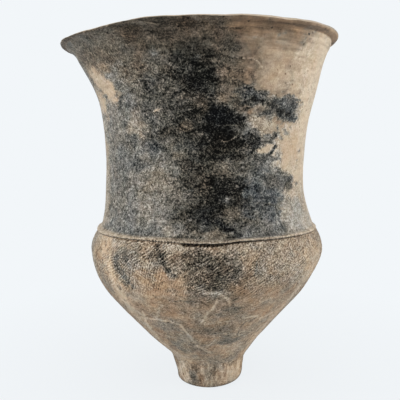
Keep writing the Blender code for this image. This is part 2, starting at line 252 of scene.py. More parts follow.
# Smudges, laid on in turn: azimuth in degrees from the front, height in mm, half width and half height
# in mm, tilt in degrees, then the tone (0 cream, 1 black), warmth (-1 blue, 1 orange) and softness
NECK_TONE = (0.52, -0.42)
NECK_SMUDGES = [
    ("cream side", 82, 232, 74, 112, 0, 0.16, 0.1, 0.3),
    ("right ground", 34, 268, 74, 42, 0, 0.42, 0.4, 0.3),
    ("left brown", -60, 280, 26, 14, 0, 0.54, 0.2, 0.5),
    ("rim ground", -22, 296, 92, 22, 0, 0.64, 0.22, 0.5),
    ("tan below the rim", 38, 269, 48, 18, 0, 0.32, 0.32, 0.5),
    ("brown turn", 11, 272, 17, 25, 0, 0.64, 0.7, 0.8),
    ("brown right rim", 22, 296, 40, 7.5, 0, 0.58, 0.9, 0.6),
    ("light under the bead", 67, 287, 28, 9, 0, 0.16, 0.1, 0.5),
    # painted light: the neck's right edge made paler against the shading at its limb
    ("painted light on the right edge", 68, 262, 36, 52, 0, 0.1, 0.2, 0.6),
    ("light grey low right", 52, 163, 26, 17, 0, 0.31, -0.35, 0.4),
    ("grey left rim", -50, 291, 46, 9.5, 0, 0.66, 0.1, 0.5),
    ("pale left edge", -78, 185, 22, 62, 0, 0.34, -0.15, 0.5),
    ("smoke", -1, 206, 30, 76, 0, 0.83, 0.0, 0.4),
    ("upper smoke", -14, 262, 22, 27, 0, 0.72, 0.05, 0.5),
    ("left smoke", -22, 232, 22, 26, 0, 0.72, -0.2, 0.5),
    ("middle rim", -10, 294, 40, 13, 0, 0.78, 0.5, 0.5),
    ("brown flecks under rim", -29, 271, 15, 12, 0, 0.68, 0.2, 0.6),
    ("blotch", -25, 258, 11, 11, 0, 0.77, -0.2, 0.5),
    ("middle dark", -11, 230, 11, 19, 0, 0.86, -0.1, 0.5),
    ("blue by the peach", -45, 252, 7, 12, 0, 0.62, -0.55, 0.5),
    ("peach patch", -56.5, 265, 20, 10.5, -35, 0.24, 0.3, 0.4),
    ("peach tail", -68, 252, 13, 13, 0, 0.24, 0.22, 0.5),
    ("brown above peach", -50, 276, 9, 4, 0, 0.5, 0.4, 0.5),
    ("pink patch", -37, 228, 9.5, 11, 0, 0.42, 0.05, 0.5),
    ("grey knot", -35, 198, 10, 5, 0, 0.66, -0.45, 0.5),
    ("dark knot", -41, 217, 9, 6, 0, 0.64, -0.4, 0.6),
    ("pinkish left", -25, 188, 14, 17, 0, 0.5, -0.05, 0.5),
    ("dark blue left", -26, 212, 10, 7, 0, 0.7, -0.5, 0.6),
    ("left grey", -48, 196, 9, 18, 0, 0.58, -0.5, 0.6),
    ("blue low left", -42, 152, 26, 9, 0, 0.54, -0.6, 0.5),
    ("pale left low", -30, 163, 12, 9, 0, 0.46, -0.25, 0.8),
    ("pale fleck", -24, 241, 3.4, 1.2, 10, 0.34, 0.25, 0.5),
    ("brown patch", -10, 229, 5, 5, 0, 0.76, 0.35, 0.5),
    ("pale nick", -13, 207, 5, 3, 0, 0.6, 0.1, 0.6),
    ("upper black", -2.5, 266, 12, 17, 0, 0.98, -0.1, 0.6),
    ("upper black left", -11, 273, 6.5, 7, 0, 0.93, 0.0, 0.6),
    ("dark under the rim", -3, 285, 8, 6, 0, 0.84, 0.35, 0.7),
    ("core", 5.5, 236, 13, 8, -20, 1.07, -0.35, 0.6),
    ("core left", 4.5, 226, 12, 6.5, 0, 1.12, -0.1, 0.5),
    ("core right", 15, 233, 6.5, 3.8, 0, 1.02, -0.35, 0.5),
    ("core low", 11, 214.5, 16, 9, 0, 1.1, -0.1, 0.7),
    ("hook root", 22.5, 219, 8.5, 5.5, -33, 0.96, -0.3, 0.35),
    ("core foot", 14, 208.5, 14, 4.5, 0, 0.92, -0.1, 0.5),
    ("brown blob", -3.5, 243, 6, 7, 0, 0.86, 0.35, 0.5),
    ("core tip", -6, 238.5, 5.5, 4, 0, 1.0, 0.0, 0.6),
    ("brown edge", 10, 265, 8, 18, 0, 0.73, 0.4, 0.8),
    ("brown over the blob", 9.5, 256.5, 6, 4.5, 0, 0.66, 0.4, 0.5),
    ("tan blob", 7, 248, 6.5, 4, 0, 0.6, 0.45, 0.5),
    ("brown grey", 15, 245, 6, 4.5, 0, 0.74, 0.2, 0.5),
    ("smudge root", 18.5, 250.5, 10, 7, 0, 0.84, -0.3, 0.4),
    ("brown flecks", 12, 195.5, 12, 6, 0, 0.7, 0.1, 0.5),
    ("waist black", 6, 183, 9, 7, 0, 1.05, -0.1, 0.6),
    ("waist black right", 19, 180, 9, 7.5, 0, 1.03, -0.15, 0.6),
    ("low black", 3, 170, 13, 6, 30, 1.02, -0.1, 0.6),
    ("low black left", -1, 163, 8.5, 7, 0, 0.94, -0.1, 0.5),
    ("pale waist", -11.5, 176.5, 5, 6, 0, 0.58, 0.0, 0.7),
    ("low black right", 16.5, 171, 9, 7, 0, 0.97, 0.0, 0.6),
    ("pink brown", 13, 163, 6, 6, 0, 0.72, 0.2, 0.5),
    ("ochre", 21, 157, 10, 5.5, 0, 0.66, 0.2, 0.5),
    ("blue side", 31, 176, 15, 22, 0, 0.69, -0.85, 0.35),
    ("below the hook", 27, 201.5, 11, 6, 0, 0.7, -0.4, 0.4),
    ("blue tongue", 38, 186, 19, 7, 0, 0.66, -0.5, 0.4),
    ("tan by the hook", 50, 209, 13, 12, 0, 0.2, 0.35, 0.5),
    ("tongue tip", 50, 182, 5, 3.5, 0, 0.7, -0.15, 0.5),
    ("tan under the tongue", 57, 175, 10, 4.5, 0, 0.22, 0.1, 0.6),
    ("low blue", 36, 150, 10, 5, 0, 0.5, -0.5, 0.5),
    ("tan above the cordon", 0, 148.5, 10, 2.8, 0, 0.55, 0.2, 0.6),
    ("dark above the cordon", 15, 153.5, 6, 4, 0, 0.83, -0.1, 0.7),
    ("low blue front", 27, 150, 10, 6, 0, 0.6, -0.4, 0.9),
    ("pale low right", 60, 149, 20, 7, 0, 0.22, -0.35, 1.0),
    ("pale low left", -18, 150, 6, 4, 0, 0.42, -0.1, 0.6),
    ("tan above the smudge", 33, 259, 13, 5, 0, 0.27, 0.3, 0.7),
    ("smudge haze", 33, 243.5, 22, 5, -14, 0.5, -0.3, 0.8),
    ("tan gap", 30, 228, 15, 5, -20, 0.32, 0.2, 0.4),
    ("core shoulder", 16.5, 226, 5, 4, 0, 0.8, 0.0, 0.6),
    ("smudge top", 22, 248, 11, 4.3, -14, 0.77, -0.5, 0.6),
    ("smudge end", 42.5, 241.5, 16, 8.5, -10, 0.66, -0.6, 0.35),
    ("smudge low", 43.5, 236.5, 13, 4, -8, 0.81, -0.65, 0.4),
    ("smudge left", 30, 238.5, 8, 3, 0, 0.76, -0.2, 0.4),
    ("smudge hole", 25.5, 240, 5, 2.2, 0, 0.56, 0.12, 0.5),
    ("red spot", 20, 238, 1.6, 1.4, 0, 0.58, 0.8, 0.5),
    ("hook hole", 31, 211.5, 8.5, 2.7, 23, 0.2, 0.15, 0.3),
    ("spot", 20, 164, 4.5, 5, 0, 0.82, -0.6, 0.6),
    ("rim pit", 46, 294, 1.0, 0.8, 0, 0.95, 0.0, 0.5),
    ("far black", 158, 236, 28, 34, 12, 0.9, -0.15, 0.45),
    ("far mottle", 175, 205, 70, 62, 0, 0.62, 0.0, 0.5),
    ("far tan", 118, 268, 30, 20, 0, 0.3, 0.3, 0.4),
    ("far grey", -112, 236, 34, 30, 0, 0.62, -0.1, 0.5),
    ("far peach", -136, 272, 26, 13, -20, 0.26, 0.38, 0.3),
    ("far blue", -148, 180, 30, 20, 15, 0.7, -0.4, 0.4),
    ("far core", 172, 224, 18, 10, 0, 0.94, -0.1, 0.45),
    ("far brown", -170, 254, 16, 9, 10, 0.54, 0.35, 0.5),
    ("far gap", 132, 214, 14, 8, -20, 0.28, 0.3, 0.35),
]
BODY_TONE = (0.46, 0.42)
BODY_SMUDGES = [
    ("right tan", 36, 126, 46, 20, 0, 0.39, 0.18, 0.5),
    ("right ochre", 58, 124, 24, 18, 0, 0.29, 0.5, 0.5),
    ("right brown", 33, 108, 18, 9, 0, 0.46, 0.45, 0.7),
    ("right dusk", 19, 119, 17, 14, 0, 0.5, 0.35, 0.9),
    ("grey by the orange", -32, 125, 8, 7, 0, 0.5, 0.1, 0.7),
    ("grey under the seam", -8, 131, 34, 7, 0, 0.57, 0.25, 0.5),
    ("pale under the cordon", -58, 139, 36, 3.5, 0, 0.3, 0.12, 0.5),
    ("pale by the slit", -14, 139.5, 14, 2.6, 0, 0.34, 0.1, 0.5),
    ("grey limb", -76, 112, 15, 40, 0, 0.42, -0.05, 0.45),
    ("left dark", -38, 129, 8, 8, 0, 0.5, 0.05, 0.45),
    ("dark under the seam", -6, 132, 9, 6.5, 0, 0.7, 0.3, 0.45),
    ("dusk below the dark", -3, 110, 14, 11, 0, 0.58, 0.35, 0.8),
    ("dark middle", 4, 120, 15, 11.5, 0, 0.77, 0.25, 0.45),
    ("darkest", 5, 111.5, 7, 6, 0, 0.82, 0.1, 0.6),
    ("dark middle left", -6.5, 117, 10, 10, 0, 0.74, 0.35, 0.7),
    ("dark middle right", 12, 111, 8, 9, 0, 0.7, 0.35, 0.7),
    ("orange", -20.5, 110.5, 19, 11.5, 0, 0.44, 1.0, 0.45),
    ("tan by the orange", -12.5, 112, 7, 9, 0, 0.42, 0.5, 0.8),
    ("red brown", 16, 115, 6, 5.5, 0, 0.58, 0.8, 0.9),
    ("orange spot", 14, 107, 6, 4, 0, 0.55, 0.75, 0.9),
    ("tick", 20, 124, 1.0, 3.8, 0, 0.62, 0.0, 0.5),
    ("grey left cone", -22, 79, 18, 10, 0, 0.47, 0.4, 0.5),
    ("orange cone", -18, 83, 9, 4.6, 0, 0.4, 0.6, 0.5),
    ("olive", -19, 87, 7, 4, 0, 0.48, 0.7, 0.5),
    ("pink left", -30, 101, 11, 11, 0, 0.36, 0.3, 0.6),
    ("brown high cone", 6, 100, 16, 5, 0, 0.56, 0.35, 0.8),
    ("tan right cone", 36, 80, 12, 14, 0, 0.36, 0.3, 0.9),
    ("tan low right", 24, 46, 13, 9, 0, 0.3, 0.2, 0.5),
    # painted light: the low cone made paler over the fillet, against its shading
    ("painted light over the foot's collar", 0, 28, 70, 6, 0, 0.4, 0.08, 0.8),
    ("foot left light", -40, 29, 10, 5, 0, 0.3, 0.05, 0.7),
    ("grey cone", 4, 68, 14, 6, 0, 0.56, 0.25, 0.5),
    ("dark cone", 20, 56, 9, 6.6, 0, 0.55, 0.0, 0.45),
    ("low cone", -18, 46, 18, 8.5, 0, 0.48, -0.05, 0.5),
    ("tan oval", 30, 66, 10, 9, 20, 0.4, 0.35, 0.3),
    ("olive left", -24, 68, 10, 5, 0, 0.48, -0.1, 0.5),
    ("pink cone", 2.5, 57.5, 9, 5, 0, 0.44, 0.4, 0.5),
    ("grey high cone", 14, 87, 8, 6, 0, 0.56, 0.0, 0.5),
    ("foot dark", -33, 10, 7, 8.5, 0, 0.58, -0.1, 0.8),
    ("foot middle", -1, 8, 5.5, 6, 0, 0.44, 0.0, 0.8),
    ("foot streak", -11, 15, 1.6, 6, 0, 0.28, 0.2, 0.5),
    ("foot cream", 57, 15, 7, 8, 0, 0.16, 0.4, 0.5),
    ("foot tan", 38, 14.5, 13, 8, 20, 0.24, 0.35, 0.4),
    ("foot pale", -49, 13, 8.5, 9.5, 0, 0.24, 0.1, 0.4),
    ("far dark", 128, 116, 22, 14, 0, 0.72, -0.08, 0.4),
    ("far orange", 170, 112, 28, 11, 0, 0.36, 0.75, 0.4),
    ("far tan", -118, 104, 20, 34, 0, 0.3, 0.3, 0.4),
    ("far smoke", -158, 124, 16, 13, 0, 0.72, -0.1, 0.4),
    ("far grey", -150, 66, 36, 14, 0, 0.54, 0.0, 0.5),
]
INSIDE_TONE = (0.66, 0.08)
INSIDE_SMUDGES = [
    ("smoked throat", 150, 262, 60, 30, 0, 0.82, -0.1, 0.5),
    ("pale throat", -40, 270, 48, 22, 0, 0.48, 0.2, 0.5),
    ("brown belly", 30, 110, 60, 24, 0, 0.56, 0.35, 0.5),
    ("dark well", 0, 40, 60, 14, 0, 0.78, 0.05, 0.5),
]

# Strokes over the smudges: corners by azimuth and height, half width in mm, tone, warmth and softness
NECK_STROKES = [
    ("smudge streak", [(18, 246), (21.5, 247), (26, 245.5), (29, 243.5), (33, 243), (37, 239), (45, 237)],
     2.0, 0.92, -0.25, 0.7),
    ("upper hook", [(28, 213.5), (32, 217), (35.5, 221), (38.5, 225.5)], 2.3, 0.76, -0.2, 0.5),
    ("lower hook", [(23, 209), (26, 206), (31, 205), (35, 209), (37.5, 213.5)], 1.3, 0.84, -0.3, 0.6),
    ("blue arc", [(32, 169), (37, 168), (38, 162), (38, 155), (39, 150)], 0.8, 0.74, -0.45, 0.6),
    ("cordon streak", [(5, 157), (8.5, 153), (11, 150.5), (14.5, 148)], 2.4, 0.95, -0.3, 0.8),
    ("core wisp", [(4, 230), (9, 228), (14, 229), (19, 230)], 0.35, 0.62, 0.1, 0.8),
    ("low wisp", [(8, 217), (11, 218), (16, 222)], 0.35, 0.62, 0.1, 0.8),
    ("high wisp", [(15, 275), (19, 276), (22, 273), (24, 269)], 0.4, 0.28, 0.2, 0.8),
    ("far streak", [(140, 252), (152, 248), (166, 251), (176, 243)], 1.8, 0.95, -0.2, 0.5),
    ("far hook", [(128, 205), (136, 199), (144, 203), (147, 212)], 2.0, 0.84, -0.3, 0.4),
]
BODY_STROKES = [
    ("tan column", [(-54, 138), (-53, 130), (-50, 120), (-46, 108), (-45, 94), (-45, 80)],
     8.0, 0.2, 0.4, 0.8),
    ("tan column foot", [(-45, 80), (-45, 60), (-46, 34)], 6.5, 0.27, 0.12, 0.9),
    ("left dark edge", [(-43, 125), (-42, 120), (-40, 113), (-36, 108)], 4.2, 0.67, -0.15, 0.8),
    ("left dark stroke", [(-39, 131), (-37.5, 128), (-35.5, 124)], 2.6, 0.66, -0.15, 0.8),
    ("stripe", [(-22, 138), (-19.8, 133), (-18.2, 129), (-16.4, 124), (-15, 121)], 3.2, 0.84, 0.0, 0.7),
    # painted light: the body's right limb made paler against the shading there
    ("painted light on the right limb", [(62, 122), (56, 104), (52, 86), (50, 70), (52, 50), (56, 34)], 7.5, 0.22, 0.2, 1.0),
    ("hairline", [(-40, 74), (-28, 76), (-21, 76), (-14.5, 73.5), (-11.5, 62)], 1.1, 0.2, 0.0, 0.8),
    ("hairline end", [(-11.5, 62), (-6, 49), (5, 39.5)], 1.3, 0.27, -0.1, 0.8),
    ("root mark", [(5.5, 99), (4.5, 93), (1.5, 88), (1, 84), (-1.5, 77)], 1.1, 0.22, 0.05, 0.8),
    ("left hairline", [(-36, 82), (-43, 64), (-47, 50), (-42, 34), (-35, 28), (-28, 25)],
     1.2, 0.22, 0.0, 0.8),
    ("pale band", [(-32, 56), (-19, 56), (-6, 52), (2, 41)], 1.2, 0.36, 0.0, 0.8),
    ("right hairline", [(-1, 75), (10, 76.5), (20, 79)], 0.6, 0.32, 0.0, 0.8),
    ("right hairline end", [(22, 79.5), (29, 79.5), (36, 75.5), (41, 77), (46.5, 80.5)], 1.2, 0.2, 0.0, 0.8),
    ("left streak", [(-29, 78), (-24, 86), (-21, 93)], 1.2, 0.3, 0.05, 0.8),
    ("right low mark", [(25, 61), (33, 56), (41, 60.5)], 1.0, 0.26, 0.0, 0.8),
    ("right edge mark", [(45, 41.5), (42, 55.5), (45, 64.5)], 0.9, 0.24, 0.0, 0.7),
    ("faint mark", [(8, 65), (20, 62), (31, 58)], 0.7, 0.34, 0.0, 0.8),
    ("dark end mark", [(-0.5, 105), (5.5, 106), (10, 101), (12, 94)], 0.9, 0.28, 0.0, 0.8),
    ("low mark", [(1, 45.5), (8.5, 57)], 0.9, 0.3, 0.0, 0.8),
    ("crack", [(-15, 97), (-11, 98), (-5, 97.5)], 0.4, 0.62, 0.1, 0.6),
    ("oval edge", [(25.5, 59), (23, 68), (25, 75), (31, 77)], 0.6, 0.58, 0.1, 0.6),
    ("pale ridge", [(-36, 126), (-30, 130), (-26, 135)], 0.4, 0.32, 0.1, 0.8),
    ("pale cord", [(-18, 132), (-14, 135), (-10, 137), (-6, 140)], 0.4, 0.32, 0.1, 0.8),
    ("far hairline", [(140, 68), (155, 75), (168, 73), (179, 78)], 0.6, 0.28, 0.0, 0.7),
    ("far root mark", [(-120, 62), (-128, 74), (-126, 88)], 0.7, 0.3, 0.05, 0.7),
]
# Painted shade along the foot's lower edge: how much darker, and how far up it reaches
BODY_FOOT_SHADE = 0.16
BODY_FOOT_SHADE_REACH = 4.0 * MM

# Rubbing of the body: strokes that climb round it both ways, and patches of warmer clay
RUB = 0.07
RUB_SIZE = np.array([1.6, 1.6, 9.0]) * MM
RUB_TWISTS = {-13.0: (RUB, RUB_SIZE, 70, 2), 15.0: (RUB, RUB_SIZE, 74, 2)}
BODY_TINT = (0.3, 11 * MM, 78, 3)
BODY_PALE_TONES = (0.33, 0.21)
ORANGE_WARMTHS = (0.5, 0.85)
BODY_CALM = 0.5
BELLY_FOOT_GRIT = 0.5
GRIT_FADE = 12 * MM

# Wiped band under the rim, clay kept clean of smoke, and the bead by azimuth: how far round it the wear,
# with a painted highlight where the lip faces up, reaches, its tone, how much of it is brown, its half
# height and the tone of the worn lip with that painted highlight
WIPED_Z = 268 * MM
WIPED_FADE = 20 * MM
WIPED_LEFT_SHARE = 0.6
WIPED_AZIMUTHS = (-45, -20)
WIPED_CALM = 0.5
CLEAN_Z = 225 * MM
CLEAN_AZIMUTHS = (2, 14)
CLEAN_RIGHT_AZIMUTHS = (30, 40)
CLEAN_WARMTHS = (-0.05, 0.25)
CLEAN_CALM = 0.7
PALE_TONES = (0.35, 0.25)
SMOKED_TONES = (0.78, 0.58)
WIPE_TONE = (0.1, np.array([26, 26, 1.6]) * MM, 82, 2)
WEAR_AZIMUTHS = [-180, -75, -58, -36, -26, -6, 8, 22, 36, 56, 80, 120, 180]
WORN_LIT_RISES = [0.4, 0.45, 0.3, 0.3, 0.6, 0.55, 0.35, 0.4, 0.4, -0.1, -0.25, 0.4, 0.4]
BEAD_TONES = [0.6, 0.62, 0.64, 0.62, 0.72, 0.76, 0.66, 0.62, 0.6, 0.6, 0.6, 0.58, 0.6]
BEAD_WARMTH = 0.8
BEAD_COVERS = [0.7, 0.7, 0.6, 0.4, 0, 0, 0, 0.15, 0.6, 0.85, 0.85, 0.7, 0.7]
BEAD_KEPT = 0.5
BEAD_EDGE = 0.8 * MM
# Painted shade on the bead where it faces down: how much darker, from which facing, and how soon it is full
BEAD_SHADE = 0.12
BEAD_UNDERSIDE = -0.6
BEAD_SHADE_FADE = 0.3
WORN_LIT_RAGGED = (0.15, np.array([17, 17, 8]) * MM, 80, 1)
WORN_LIT_FADE = 0.25
BEAD_HALVES = np.array([2.5, 1.1, 1.3, 1.65, 1.9, 2.35, 2.7, 2.9, 2.9, 2.85, 3.3, 3.6, 2.5]) * MM
WORN_LIT_LIP_TONES = [0.1, 0.1, 0.1, 0.1, 0.1, 0.1, 0.1, 0.1, 0.12, 0.26, 0.34, 0.3, 0.1]
WORN_LIT_WARMTH = 0.05

# Colours of the fired clay from pale to smoked, in sRGB, how they drift, and the clay's faint gloss
PLAIN_CLAY = [(222, 207, 184), (188, 173, 152), (143, 133, 118), (100, 96, 87), (56, 55, 50), (8, 8, 7)]
WARM_CLAY = [(226, 203, 172), (200, 171, 138), (166, 137, 108), (118, 98, 79), (66, 57, 47), (12, 11, 9)]
COOL_CLAY = [(206, 204, 197), (170, 169, 163), (128, 129, 126), (86, 91, 93), (44, 50, 55), (7, 9, 13)]
BACKGROUND = (242, 246, 249)
HUE_DRIFT = ((1.0, 0.975, 0.995, 1.0), (0.98, 1.0, 0.98, 1.0))
HUE_DRIFT_SIZE = 9 * MM
HUE_DRIFT_SPAN = (-0.2, 0.2)
SPECULAR = 0.02
SHEEN = 0.08
SHEEN_ROUGHNESS = 0.4
ROUGH_SPAN = (-0.3, 0.3)
ROUGH_SPREAD = 0.09
HUE_SHIFT = 1.5
HUE_SHIFT_TONES = (0.55, 0.8)

# Grit of the clay: flecks, fine specks and pale hairs, sized in grains, each with its detail, roughness
# and distortion, then brush strokes and pits
FLECK_SIZE = 3.2
FLECK_LOOK = (3.0, 0.68, 1.6)
FLECK_SHARE = 0.62
FINE_SIZE = 1.15
FINE_LOOK = (1.0, 0.6, 0.8)
FINE_SHARE = 0.6
HAIR_SIZE = 4.2
HAIR_LOOK = (1.0, 0.6, 1.8)
HAIR_WIDTH = 0.07
HAIR_TONES = (-0.13, 0.04)
SPECKLE_TONES = (0.3, 0.52)
BRUSH_SIZE = 7 * MM
BRUSH_DETAIL = 3.0
BRUSH_STRETCH = (0.3, 0.3, 2.4)
BRUSH_GRITS = (0.3, 1.0)
BRUSH_DEPTHS = (0.25, 0.06)
PIT_SIZE = 3.4 * MM
PIT_TONE = 0.32
PIT_EDGE = (0.12, 0.3)
BUMP_DEPTH = 0.35
BUMP_STRENGTH = 0.7

# Clays: grain, depth of the grit, its share on pale clay, share of pits, depth of the painted shade in
# grooves and light on ridges, roughness
CLAYS = {
    "burnished_clay": (1.0 * MM, 1.62, 1.0, 0.08, 0.0, 0.58),
    "cord_marked_clay": (0.66 * MM, 2.5, 0.95, 0.3, 0.75, 0.82),
    "rubbed_clay": (0.9 * MM, 1.15, 0.85, 0.12, 0.5, 0.8),
    "smeared_clay": (1.0 * MM, 0.8, 0.6, 0.15, 0.0, 0.85),
}

# Studio: even light, lamps by place, size in metres and power in watts, and a floor that shows more of
# the backdrop's colour the further off it lies
AMBIENT = 0.55
LAMPS = {
    "front": ((-0.4, -1.5, 0.5), 1.2, 8),
    "left": ((-1.4, -0.3, 0.3), 1.2, 8),
    "right": ((1.4, -0.3, 0.3), 1.2, 9.5),
}
FLOOR_RADIUS = 4.0
FLOOR_CORNERS = 63
FLOOR_DROP = 0.2 * MM
FLOOR_COLOR = (0.9, 0.91, 0.92, 1.0)
FLOOR_ROUGHNESS = 0.9
FLOOR_NEAR_SHARE = 0.88
FLOOR_FADE = (0.05, 0.36)

# Smooth noise: directions at the points of its lattice, and numbers that jumble those points
GRADIENTS = np.random.default_rng(SEED).normal(size=(3, 256))
GRADIENTS /= np.linalg.norm(GRADIENTS, axis=0)
JUMBLES = np.array([73856093, 19349663, 83492791], dtype=np.uint32)
SEED_JUMBLE = 2654435
SEED_START = 97
LAST_JUMBLE = np.uint32(1274126177)
NOISE_GAIN = 1.7


def mix(low, high, share):
    return low + (high - low) * share


def smooth(share):
    share = np.clip(share, 0.0, 1.0)
    return share * share * (3 - 2 * share)


def eased(value, start, end):
    """0 up to start, 1 from end on and smooth between, also where end is the lower."""
    return smooth((value - start) / (end - start))


def scrambled(value, seed):
    """Fixed jumble of each lattice point, as a place in the list of gradients."""
    value = value ^ np.uint32(seed * SEED_JUMBLE + SEED_START)
    value = (value ^ (value >> np.uint32(13))) * LAST_JUMBLE
    return (value ^ (value >> np.uint32(16))) & np.uint32(255)


def noise(places, seed):
    """Smooth noise, about -1 to 1, over places in units of its grain."""
    axes = np.ascontiguousarray(np.moveaxis(places, -1, 0))
    base = np.floor(axes)
    within = axes - base
    ease = within * within * within * (within * (within * 6 - 15) + 10)
    cells = base.astype(np.int64).astype(np.uint32)
    keys = [[cell * jumble, (cell + np.uint32(1)) * jumble] for cell, jumble in zip(cells, JUMBLES)]
    total = np.zeros(axes.shape[1:])
    for i, j, k in itertools.product((0, 1), repeat=3):
        pick = scrambled(keys[0][i] ^ keys[1][j] ^ keys[2][k], seed)
        reach = sum(lean[pick] * (part - end) for lean, part, end in zip(GRADIENTS, within, (i, j, k)))
        for part, end in zip(ease, (i, j, k)):
            reach = reach * (part if end else 1 - part)
        total += reach
    return total * NOISE_GAIN


def uneven(places, layer):
    """Noise of a given depth, with ever finer and fainter layers added."""
    depth, grain, seed, count = layer
    steps = [(2 ** step, seed + step) for step in range(count)]
    return depth * sum(noise(places / grain * finer, own) / finer for finer, own in steps)


def curve_radius(start, control, end, height):
    """Radius of a climbing curve, from start by way of control to end, at given heights."""
    height = np.clip(height, start[1], end[1])
    bend = start[1] - 2 * control[1] + end[1]
    lead = 2 * (control[1] - start[1])
    root = np.sqrt(np.maximum(lead ** 2 + 4 * bend * (height - start[1]), 0))
    share = 2 * (height - start[1]) / (lead + root)
    return mix(mix(start[0], control[0], share), mix(control[0], end[0], share), share)


def body_radius(height):
    """Outside of foot, cone, belly and shoulder."""
    foot = FOOT_TOP_RADIUS - FOOT_SLOPE * (FOOT_HEIGHT - height)
    low = (FOOT_TOP_RADIUS - FOOT_SLOPE * FOOT_FILLET, FOOT_HEIGHT - FOOT_FILLET)
    high = (FOOT_TOP_RADIUS + CONE_SLOPE * FOOT_FILLET, FOOT_HEIGHT + FOOT_FILLET)
    fillet = curve_radius(low, (FOOT_TOP_RADIUS, FOOT_HEIGHT), high, height)
    cone = FOOT_TOP_RADIUS + CONE_SLOPE * (height - FOOT_HEIGHT)
    widest = (BELLY_RADIUS, BELLY_Z)
    turn = (BELLY_RADIUS, CONE_TOP_Z + (BELLY_RADIUS - CONE_TOP_RADIUS) / CONE_SLOPE)
    belly = curve_radius((CONE_TOP_RADIUS, CONE_TOP_Z), turn, widest, height)
    knee = (BELLY_RADIUS, BELLY_Z + SHOULDER_KNEE)
    shoulder = curve_radius(widest, knee, (SEAM_RADIUS, SEAM_Z), height)
    ends = [low[1], high[1], CONE_TOP_Z, BELLY_Z]
    tuck = TUCK * smooth(1 - np.abs(height - TUCK_Z) / TUCK_REACH)
    return np.select([height < end for end in ends], [foot, fillet, cone, belly], shoulder) - tuck


def neck_radius(height):
    """Outside of the neck, waisted between the seam and the mouth."""
    below = np.clip(WAIST_Z - height, 0, None) / (WAIST_Z - SEAM_Z)
    above = np.clip(height - WAIST_Z, 0, None) / (MOUTH_Z - WAIST_Z)
    return WAIST_RADIUS + WAIST_INSET * below ** NECK_FOOT_POWER + MOUTH_FLARE * above ** FLARE_POWER


def inside(radius_at, wall, height):
    """Inner radius of a wall whose thickness is measured square to its outer face."""
    rise = radius_at(height + SLOPE_STEP) - radius_at(height - SLOPE_STEP)
    return radius_at(height) - wall * np.hypot(1, rise / (2 * SLOPE_STEP))


def neck_inside(height):
    return inside(neck_radius, NECK_WALL, height)


def bed_height(radius):
    """Top face of the shoulder, on which the neck stands."""
    return SEAM_Z + BED_SLOPE * (SEAM_RADIUS - radius)


BED_INNER = neck_inside(SEAM_Z)
BED_INNER_Z = bed_height(BED_INNER)


def body_inside(height):
    """Inside of the body, drawn in to the bed of the neck at the top."""
    turn = SEAM_Z - BED_MARGIN
    wall = inside(body_radius, BODY_WALL, np.minimum(height, turn))
    share = np.clip((height - turn) / (BED_INNER_Z - turn), 0, 1)
    return mix(wall, BED_INNER, share)


def hand_formed(radius, height, angle):
    """Places of turned rows on the vase as the hand left it."""
    spans = np.clip(np.searchsorted(SHIFT_HEIGHTS, height) - 1, 0, len(SHIFT_HEIGHTS) - 2)
    low, high = SHIFT_HEIGHTS[spans], SHIFT_HEIGHTS[spans + 1]
    shares = smooth((height - low) / (high - low))
    shift = mix(JOINT_SHIFTS[spans], JOINT_SHIFTS[spans + 1], shares)
    lift = smooth((height - WAIST_Z) / (TOP_Z - WAIST_Z))
    tilt = MOUTH_TILT_X * np.cos(angle) + MOUTH_TILT_Y * np.sin(angle)
    along = (radius * np.cos(angle) + shift, radius * np.sin(angle) + 0 * height, height + lift * tilt)
    return np.stack(np.broadcast_arrays(*along), axis=-1)


def facing(places):
    """Directions square to a grid of places, out of the clay."""
    across = np.roll(places, -1, axis=1) - np.roll(places, 1, axis=1)
    square = np.cross(across, np.gradient(places, axis=0))
    return square / np.linalg.norm(square, axis=-1, keepdims=True)


def rows(low, high, spacing):
    """Heights from low to high, or down, with one more past each end for the slopes there."""
    count = max(3, round(abs(high - low) / spacing) + 1)
    return (low + (high - low) / (count - 1) * np.arange(-1, count + 1))[:, None]


def rounded(points):
    """Row of points with its corners cut, one column for each angle and the ends kept."""
    for _ in range(CORNER_CUTS):
        near = mix(points[:-1], points[1:], 0.25)
        far = mix(points[:-1], points[1:], 0.75)
        cut = np.stack([near, far], axis=1).reshape(-1, *points.shape[1:])
        points = np.concatenate([points[:1], cut[1:-1], points[-1:]])
    return points


def ring_angles(columns):
    return np.arange(columns) * math.tau / columns


def ring_places(angle, radius):
    return np.stack([np.cos(angle), np.sin(angle), 0 * angle], axis=-1) * radius


def azimuths(angle):
    """Degrees from the front, to the viewer's right, of angles about the vase."""
    return (np.degrees(angle) + 270) % 360 - 180


class Skin:
    """Stretch of surface as rows and columns of places, and what lies on it."""

    def __init__(self, radius, height, columns, relief, paint):
        self.angle = ring_angles(columns)[None, :]
        self.azimuth = azimuths(self.angle)
        self.height = np.broadcast_to(height, (len(height), columns))
        self.base = hand_formed(radius, height, self.angle)
        self.out = facing(self.base)
        self.relief_shade = np.zeros(self.height.shape)
        self.grit = np.ones(self.height.shape)
        self.place = self.base + self.out * relief(self)[..., None]
        self.out = facing(self.place)
        self.tone, self.warmth = paint(self)
        for name in ("height", "base", "place", "out", "relief_shade", "tone", "warmth", "grit"):
            setattr(self, name, getattr(self, name)[1:-1])


def lumps(skin):
    return uneven(skin.base, LUMP) + uneven(skin.base, FACET)


def neck_relief(skin):
    """Lumps, burnishing strokes, and the wiping round the mouth."""
    near_rim = smooth((skin.height - RIM_WIPE_Z) / RIM_WIPE_FADE)
    return lumps(skin) + uneven(skin.base, WIPE) + near_rim * uneven(skin.base, RIM_WIPE)


def neck_foot_relief(skin):
    """As the neck, but cut back behind the cordon, where the seam stands open."""
    return neck_relief(skin) - UNDERCUT * smooth((UNDERCUT_TOP - skin.height) / UNDERCUT_FADE)


